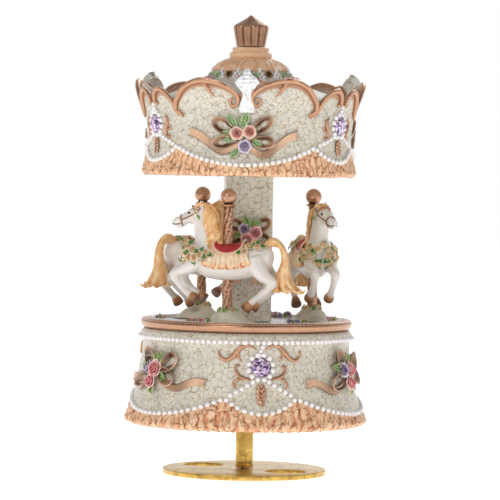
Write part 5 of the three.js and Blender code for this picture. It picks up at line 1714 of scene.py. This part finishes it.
def shell_shape():
    """A scallop shell: smooth and rounded behind, with ribs that fan out from its foot in front."""
    bm = bmesh.new()
    outline = [
        (0.4, 25.4), (1.8, 26.2), (3.3, 28.6), (4.6, 31.4), (5.2, 33.8), (4.9, 35.8), (3.6, 37.4),
        (1.8, 38.2), (0.2, 38.4),
    ]

    def face(t, s):
        wide, level = part_way(outline, t)
        rib = 0.75 * abs(math.cos(9 * math.atan2(s * wide, level - 23.5))) ** 0.7
        out = 0.7 + (1.0 + rib) * (1 - abs(s) ** 2.2) * math.sin(math.pi * min(t + 0.08, 1))
        return (s * wide, -out, level), (1, 1, 1, 1)
    sheet(bm, 40, 44, face, -2.6)
    return bm


painted_shell = plain_resin("shell_resin", pen(244, 240, 232), pen(222, 214, 202), 0.22)
flat_plume, flat_shell = plume_shape(), shell_shape()
for third, ornament in enumerate((flat_plume, flat_shell, flat_shell)):
    plume = wrapped(ornament, crown_wall, BIG_PANEL + 1.0 + 120 * third, CROWN_FOOT)
    place_piece(
        f"ice_plume_{third + 1}", plume, painted_shell if third else ice, "carousel",
        [f"plume_{third + 1}"], crease=60 if third else 12,
    )
flat_shell.free()
flat_plume.free()

# ------------------------------------------------------------------------------------------------
# Roof: a resin dome on the crown. Cream eaves and a short drum with painted flowers, brown stones and
# bead clusters stand under a cap of draped peach cloth, and two rings at the top carry the finial.

roof_low, roof_high = node_box("canopy_roof")
COLLAR_TOP = roof_high.z
EAVES = roof_high.x
roof_glaze = crackle_glaze("roof_crackle_glaze", 2.2, 0.12)
roof = bmesh.new()
cap_top, cap_low = COLLAR_TOP - 4.5, COLLAR_TOP - 8.0
roof_outline = [
    (0, roof_low.z + 6), (EAVES - 4, roof_low.z + 0.3), (EAVES - 2, roof_low.z), (EAVES, roof_low.z + 0.6),
    (EAVES - 0.2, roof_low.z + 1.5),
    (34, 148.1), (30, 149.5), (26, 150.9), (23, 152.0), (20.5, 153.2), (18.2, 154.1), (16.4, 155.0),
    (15.4, 156.0), (14.9, 157.0), (14.6, 157.8),
    (14.9, 158.3), (15.1, 158.7), (14.9, 159.3), (14.4, 159.8), (13.6, 160.4), (12.6, 161.0), (11.3, 161.7),
    (10.0, 162.3), (8.9, 162.9), (8.1, 163.2),
    (7.9, cap_top + 0.2), (8.1, cap_top + 0.4), (8.35, cap_top + 1.1), (8.35, cap_top + 1.7),
    (8.1, cap_top + 2.3), (7.4, cap_top + 2.65), (7.0, cap_top + 2.8), (7.0, cap_top + 3.0),
    (7.3, cap_top + 3.4), (7.3, cap_top + 3.9), (7.0, cap_top + 4.4), (6.4, cap_top + 4.5),
    (0, COLLAR_TOP),
]
spun(roof, roof_outline, 240, closed=False)
cloth = roof.verts.layers.float.new("cloth")
fold_shade_and_mottle = roof.verts.layers.float.new("fold_shade_and_mottle")
for v in roof.verts:
    reach = math.hypot(v.co.x, v.co.y)
    if v.co.z > cap_low - 1.4 and reach < 17.5:
        v[cloth] = min(max((v.co.z - 157.6) / 0.8, 0), 1)
        turn = math.atan2(v.co.y, v.co.x)
        if 157.6 < v.co.z < cap_top + 0.1:
            near_edge = min(max((reach - 8.1) / 4.5, 0), 1)
            wander = 1.2 * noise.noise((v.co.x * 0.22, v.co.y * 0.22, 4)) + 0.5 * noise.noise(v.co * 0.6)
            pleat = abs(math.sin(turn * 11 + 2.4 * wander)) ** 0.8
            # Painted shade in the creases between the pleats of the cap.
            v[fold_shade_and_mottle] = min(max(1.05 - pleat * 1.2, 0), 1) * 0.6
            v.co.x *= 1 + (pleat - 0.6) * 0.9 * near_edge / reach
            v.co.y *= 1 + (pleat - 0.6) * 0.9 * near_edge / reach
            v.co.z += (pleat - 0.6) * 0.7 * (1 - near_edge * 0.4) * min((reach - 8.2) / 2, 1)
            v.co.z -= 0.5 * near_edge * abs(math.sin(turn * 4 + 1)) * (reach > 13)
        elif v.co.z >= cap_top:
            # On the cap's top the same layer holds only a random mottle, not shade.
            v[fold_shade_and_mottle] = 0.15 + 0.3 * noise.noise(v.co * 0.5)
    elif reach > 18 and v.co.z > roof_low.z + 2:
        v.co.z += 0.3 * noise.noise(v.co * 0.5)
place_piece("roof_dome", roof, roof_glaze, "carousel", ["canopy_roof"], crease=60)


def on_roof(angle, reach, level, lean=-0.35):
    turn = math.radians(angle)
    place = Matrix.Translation((reach * math.sin(turn), -reach * math.cos(turn), level))
    return place @ Matrix.Rotation(turn, 4, "Z") @ Matrix.Rotation(lean, 4, "X")


roof_flowers = painted_shape()
roof_beads = bmesh.new()
BROWN_FLOWER = (pen(70, 42, 20), pen(160, 112, 66))
YOUNG_LEAF = (pen(60, 130, 50), pen(190, 214, 150))
bead_cluster = [
    (0, 0), (0.9, 1.3), (-1, 1.3), (0, 2.6), (1.6, -0.2), (-1.5, -0.1), (0.1, 3.9), (1.2, -1.5), (-0.6, -1.5),
]
for step in range(6):
    angle = step * 60 + 27.5
    star = bmesh.new()
    rose(star, (0, 0, 0), 1.5, BROWN_FLOWER, 0, step)
    gathered(roof_flowers, moved(star, on_roof(angle, 15.2, 156.6)))
    for side in (-1, 1):
        seat = on_roof(angle + 14 * side, 15.7, 155.6)
        for dx, dz in bead_cluster:
            set_bead(roof_beads, seat @ Vector((dx, -0.3, dz * 0.8)), 0.68)
    pick = random.Random(step)
    for i in range(5):
        bloom = bmesh.new()
        paints = (ROSE_PINK, ROSE_MAUVE, CREAM_FLOWER)[i % 3]
        rose(bloom, (0, 0, 0), pick.uniform(1.1, 1.5), paints, 0, i + step)
        reach = 18.2 + pick.uniform(-0.8, 1.6)
        level = 154.6 + pick.uniform(-0.3, 0.5)
        spot = on_roof(angle + 20 + 5 * i, reach, level, -0.7)
        gathered(roof_flowers, moved(bloom, spot))
        if i % 2 == 0:
            green = bmesh.new()
            leaf(green, (0, 0, 0), (pick.uniform(-1.2, 1.2), 0, 2.6), 1.7, 0.3, YOUNG_LEAF)
            gathered(roof_flowers, moved(green, on_roof(angle + 22 + 5 * i, 16.8, 155.0, -0.4)))
place_piece("roof_flowers", roof_flowers, painted_flowers, "carousel")
place_piece("roof_beads", roof_beads, pearl, "carousel")

# ------------------------------------------------------------------------------------------------
# Finial: a cast bronze-painted bud with twelve flat sides, a waist at its foot and a pointed tip.

bronze_paint = metal_finish("bronze_paint", pen(178, 134, 106), pen(78, 48, 34), 0.3, 0.65, 0.5, 0.6)
finial_low, finial_high = node_box("finial")
foot = finial_low.z
bud = bmesh.new()
bud_rings = [
    (5.5, 0.0), (5.75, 0.3), (5.9, 1.2), (6.15, 2.6), (6.45, 4.2), (6.75, 5.8), (6.95, 7.0), (6.95, 7.7),
    (6.75, 8.2),
    (6.3, 8.6), (5.2, 9.2), (3.4, 10.2), (1.6, 11.3), (0.35, 12.3),
]
spun(bud, [(0, foot), *[(r, foot + z) for r, z in bud_rings], (0, finial_high.z)], 96, closed=False)
for v in bud.verts:
    reach = math.hypot(v.co.x, v.co.y)
    if reach > 0.3:
        turn = math.atan2(v.co.y, v.co.x)
        side = (turn / math.tau * 12) % 1 - 0.5
        height = v.co.z - foot
        flat = math.cos(math.pi / 12) / math.cos(side * math.tau / 12)
        lobe = 1 - 0.085 * max(abs(side) * 2 - 0.35, 0) ** 1.6 / 0.65**1.6
        blended = min(max((height - 7.7) / 1.2, 0), 1)
        swell = lobe + (flat - lobe) * blended
        v.co.x *= swell
        v.co.y *= swell
place_piece("finial_bud", bud, bronze_paint, "carousel", ["finial"], crease=24)
